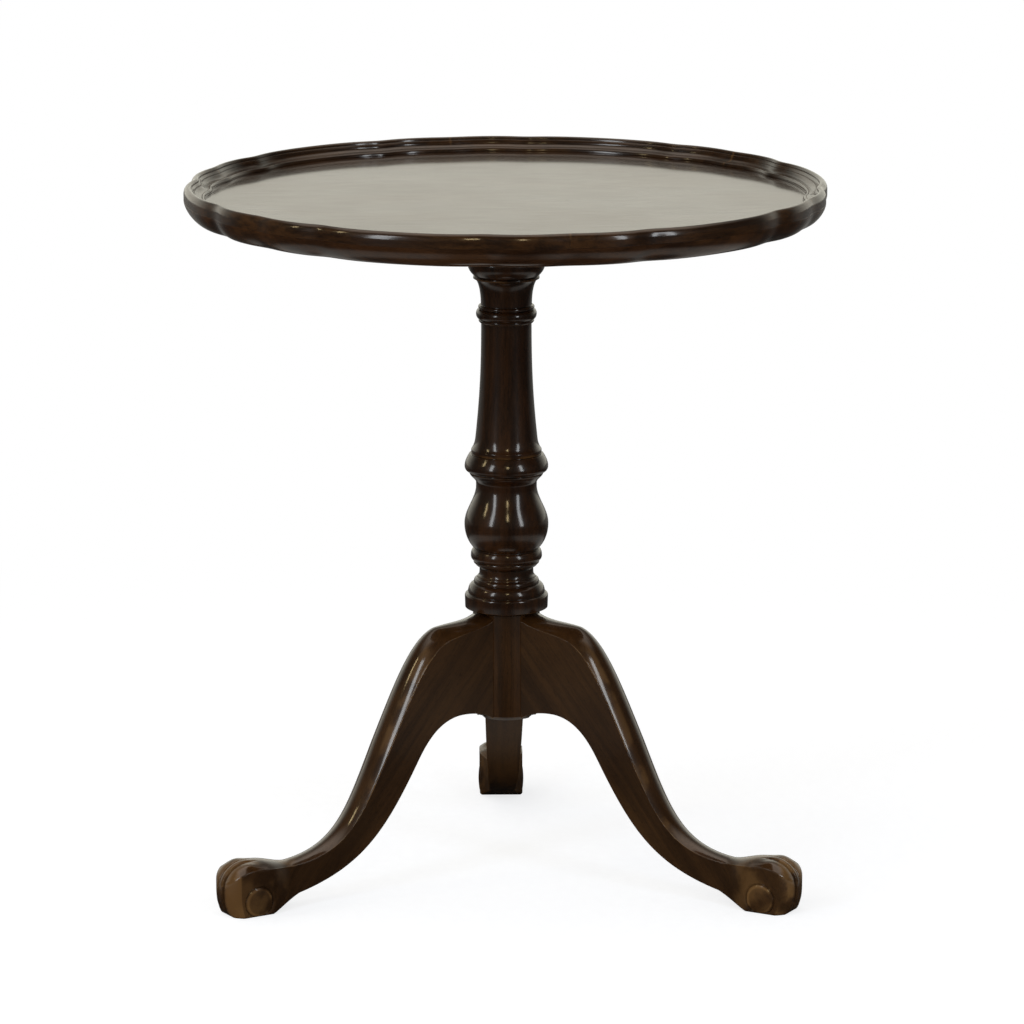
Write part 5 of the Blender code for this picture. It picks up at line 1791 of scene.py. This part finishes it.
@dataclass
class Studio:
    """The camera, floor, lamps and surroundings.

    Attributes:
        camera_distance: Distance of the camera from the pillar's axis, over the floor.
        camera_height: Height of the camera.
        camera_side: How far the camera stands to the right of the pillar's axis.
        camera_turn: How far the camera is turned round the table, in radians.
        pitch: How far the camera looks down, in radians.
        sensor: Width of the sensor, in millimetres.
        lens: Focal length, in millimetres.
        target: Height that the lamps face.
        ambient: Level of the soft light from the left and from the right.
        ambient_colour: Colour of that light.
        floor_size: Width of the floor.
        floor_colour: Colour of the lit floor, which evens out the colour of the light.
    """

    camera_distance: float = 5.046
    camera_height: float = 1.461
    camera_side: float = 0.0053
    camera_turn: float = math.radians(1.2)
    pitch: float = math.radians(12.41)
    sensor: float = 36.0
    lens: float = 191.6
    target: float = 0.42
    ambient: Point = (1.1, 0.4)
    ambient_colour: Colour = (1.0, 0.88, 0.68)
    floor_size: float = 16.0
    floor_colour: Colour = (0.32, 0.36, 0.455)

    # Eases of the surroundings over a part of the direction: from, to, and the levels there
    SIDES = (-0.7, 0.7)
    WALL_SPREAD = (0.25, 0.85, 0.05, 0.90)
    WALL_TOP = (0.24, 0.60, 1.0, 0.20)
    CEILING_SPREAD = (0.62, 0.90, 0.0, 1.5)
    CEILING_FRONT = (-0.45, -0.1, 0.0, 1.0)
    WALL_COLOUR = (1.0, 0.972, 0.84)
    CEILING_COLOUR = (1.0, 0.85, 0.72)

    # Eases of the floor over the distance from its middle, or over one axis; the glow eases shape the floor's
    # painted glow, which only polish and metal reflect
    SHADOW_FADE = (0.45, 1.4, 1.0, 0.0)
    SPECKLE = (0.96, 1.04)
    PAINTED_GLOW_UNDER = (0.08, 0.16, 0.6, 0.0)
    PAINTED_GLOW_RISE = (0.36, 0.5, 0.04, 0.42)
    PAINTED_GLOW_FALL = (0.66, 0.88, 1.0, 0.06)
    PAINTED_GLOW_ASIDE = (0.08, 0.32, 0.2, 1.0)
    PAINTED_GLOW_FAR = (0.6, 2.2, 0.0, 0.16)
    PAINTED_GLOW_COLOUR = (1.0, 0.97, 0.9)
    BOUNCE_COLOUR = (0.8, 0.8, 0.8)
    # Share of the floor's own white that gives way to the lit floor near the table, and the speckle's scale
    SHADOW_SHARE = 0.25
    SPECKLE_SCALE = 90.0

    LAMPS = (
        Lamp("strip_left", -43.0, 19.5, 2.5, 0.36, 1.4, 7.5, (0.93, 0.97, 1.0)),
        Lamp("strip_right", 43.0, 19.5, 2.5, 0.36, 1.4, 7.5, (0.93, 0.97, 1.0)),
        Lamp("warm_front", 4.0, 29.0, 3.0, 0.22, 0.6, 11.0, (1.0, 0.78, 0.42)),
        Lamp("warm_left", -72.0, 29.0, 3.0, 0.22, 0.6, 11.0, (1.0, 0.78, 0.42)),
    )

    def camera(self) -> None:
        """Set the camera at the photograph's viewing angle."""
        data = bpy.data.cameras.new("camera")
        camera = bpy.data.objects.new("camera", data)
        bpy.context.scene.collection.objects.link(camera)
        data.sensor_width = self.sensor
        data.lens = self.lens
        turn = Matrix.Rotation(-self.camera_turn, 4, "Z")
        camera.location = turn @ Vector((self.camera_side, -self.camera_distance, self.camera_height))
        camera.rotation_euler = (math.pi / 2 - self.pitch, 0.0, -self.camera_turn)
        bpy.context.scene.camera = camera

    def lamps(self) -> None:
        """Hang the lamps."""
        target = Vector((0.0, 0.0, self.target))
        for lamp in self.LAMPS:
            azimuth = math.radians(lamp.azimuth) - self.camera_turn
            elevation = math.radians(lamp.elevation)
            level = math.cos(elevation)
            away = Vector((math.sin(azimuth) * level, -math.cos(azimuth) * level, math.sin(elevation)))
            data = bpy.data.lights.new(lamp.name, "AREA")
            data.shape = "RECTANGLE"
            data.size = lamp.width
            data.size_y = lamp.height
            data.energy = lamp.radiance * math.pi * lamp.width * lamp.height
            data.color = lamp.colour
            light = bpy.data.objects.new(lamp.name, data)
            light.location = target + away * lamp.distance
            light.rotation_euler = away.to_track_quat("Z", "Y").to_euler()
            light.visible_camera = False
            bpy.context.scene.collection.objects.link(light)

    def surroundings(self) -> None:
        """Light the table softly, and show its polish a white wall behind, a ceiling and a dim room."""
        world = bpy.data.worlds.new("studio")
        bpy.context.scene.world = world
        world.use_nodes = True
        draw = Sketch(world.node_tree)
        output = world.node_tree.nodes["World Output"]
        plain = world.node_tree.nodes["Background"]
        direction = draw.node("SeparateXYZ", {0: draw.node("TexCoord").outputs["Generated"]})
        across, depth, up = direction.outputs
        draw.feed(plain.inputs["Color"], opaque(self.ambient_colour))
        draw.feed(plain.inputs["Strength"], draw.ease(across, *self.SIDES, *self.ambient))
        behind = draw.ease(depth, *self.WALL_SPREAD)
        behind = draw.math("MULTIPLY", behind, draw.ease(up, *self.WALL_TOP))
        above = draw.ease(up, *self.CEILING_SPREAD)
        above = draw.math("MULTIPLY", above, draw.ease(depth, *self.CEILING_FRONT))
        back = draw.node("Background", {"Color": opaque(self.WALL_COLOUR), "Strength": behind})
        ceiling = draw.node("Background", {"Color": opaque(self.CEILING_COLOUR), "Strength": above})
        wall = draw.node("AddShader", {0: back.outputs[0], 1: ceiling.outputs[0]})
        white = draw.node("Background", {"Color": (1.0, 1.0, 1.0, 1.0), "Strength": 1.0})
        shown = draw.by_ray(plain.outputs[0], wall.outputs[0], white.outputs[0])
        draw.feed(output.inputs["Surface"], shown)

    def floor_material(self) -> Material:
        """Build the floor's finish: white to the camera, with the table's soft shadow near the feet, and a
        painted glow for polish and metal to reflect.
        """
        material = bpy.data.materials.new("pale_floor")
        material.use_nodes = True
        draw = Sketch(material.node_tree)
        nodes = material.node_tree.nodes
        nodes.remove(nodes["Principled BSDF"])
        place = draw.node("TexCoord").outputs["Object"]
        distance = draw.node("VectorMath", {0: place}, operation="LENGTH").outputs["Value"]
        near = draw.ease(distance, *self.SHADOW_FADE)
        speckle = draw.ease(draw.noise(place, self.SPECKLE_SCALE, 3.0), *NOISE_RANGE, *self.SPECKLE)
        shade = draw.math("MULTIPLY", near, speckle)
        channels = [draw.math("MULTIPLY", shade, level) for level in self.floor_colour]
        shaded = draw.node("CombineColor", dict(enumerate(channels)))
        pale = draw.node("BsdfDiffuse", {"Color": shaded.outputs[0]})
        glow = draw.node("Emission", {"Strength": draw.math("MULTIPLY_ADD", near, -self.SHADOW_SHARE, 1.0)})
        lit = draw.node("AddShader", {0: glow.outputs[0], 1: pale.outputs[0]})
        bounce = draw.node("BsdfDiffuse", {"Color": opaque(self.BOUNCE_COLOUR)})
        spot = draw.node("SeparateXYZ", {0: place})
        # Painted glow that only reflections see: a bright patch under the hub, a painted shadow beneath the
        # table, a ring round it and more light further back
        under = draw.ease(distance, *self.PAINTED_GLOW_UNDER)
        ring = draw.ease(distance, *self.PAINTED_GLOW_RISE)
        ring = draw.math("MULTIPLY", ring, draw.ease(distance, *self.PAINTED_GLOW_FALL))
        aside = draw.ease(draw.math("ABSOLUTE", spot.outputs["X"]), *self.PAINTED_GLOW_ASIDE)
        ring = draw.math("MULTIPLY", ring, aside)
        far = draw.ease(spot.outputs["Y"], *self.PAINTED_GLOW_FAR)
        level = draw.math("ADD", draw.math("ADD", under, ring), far)
        painted_glow = draw.node("Emission", {"Color": opaque(self.PAINTED_GLOW_COLOUR), "Strength": level})
        shown = draw.by_ray(bounce.outputs[0], painted_glow.outputs[0], lit.outputs[0])
        below = draw.node("NewGeometry").outputs["Backfacing"]
        clear = draw.node("BsdfTransparent")
        surface = draw.node("MixShader", {0: below, 1: shown, 2: clear.outputs[0]})
        draw.feed(nodes["Material Output"].inputs["Surface"], surface.outputs[0])
        return material

    def floor(self) -> None:
        """Lay the floor under the table."""
        Bench.clear_selection()
        bpy.ops.mesh.primitive_plane_add(size=self.floor_size, location=(0, 0, 0))
        floor = Bench.name(bpy.context.active_object, "floor")
        floor.data.materials.append(self.floor_material())

    def build(self) -> None:
        """Set up the camera, surroundings, floor and lamps."""
        self.camera()
        self.surroundings()
        self.floor()
        self.lamps()
        bpy.context.scene.view_settings.view_transform = "Standard"


def main() -> None:
    """Build the finishes, the table and the studio."""
    logging.basicConfig(level=logging.INFO, format="%(name)s: %(message)s")
    effects = Effects(wood_figure(), handled_polish(), aged_metal())
    seat = Assembly()
    bare = BARE_WOOD.material(effects)
    brass = OLD_BRASS.material(effects)
    steel = OLD_STEEL.material(effects)
    ScallopedTop().build(seat, TOP_POLISH.material(effects), RIM_POLISH.material(effects), bare)
    TurnedPillar().build(seat, PILLAR_POLISH.material(effects), HUB_POLISH.material(effects))
    CabrioleLegs().build(seat, LEG_POLISH.material(effects), LEG_SATIN.material(effects))
    TiltFrame().build(seat, bare, steel)
    SpringCatch().build(seat, brass, steel)
    Studio().build()


if __name__ == "__main__":
    main()
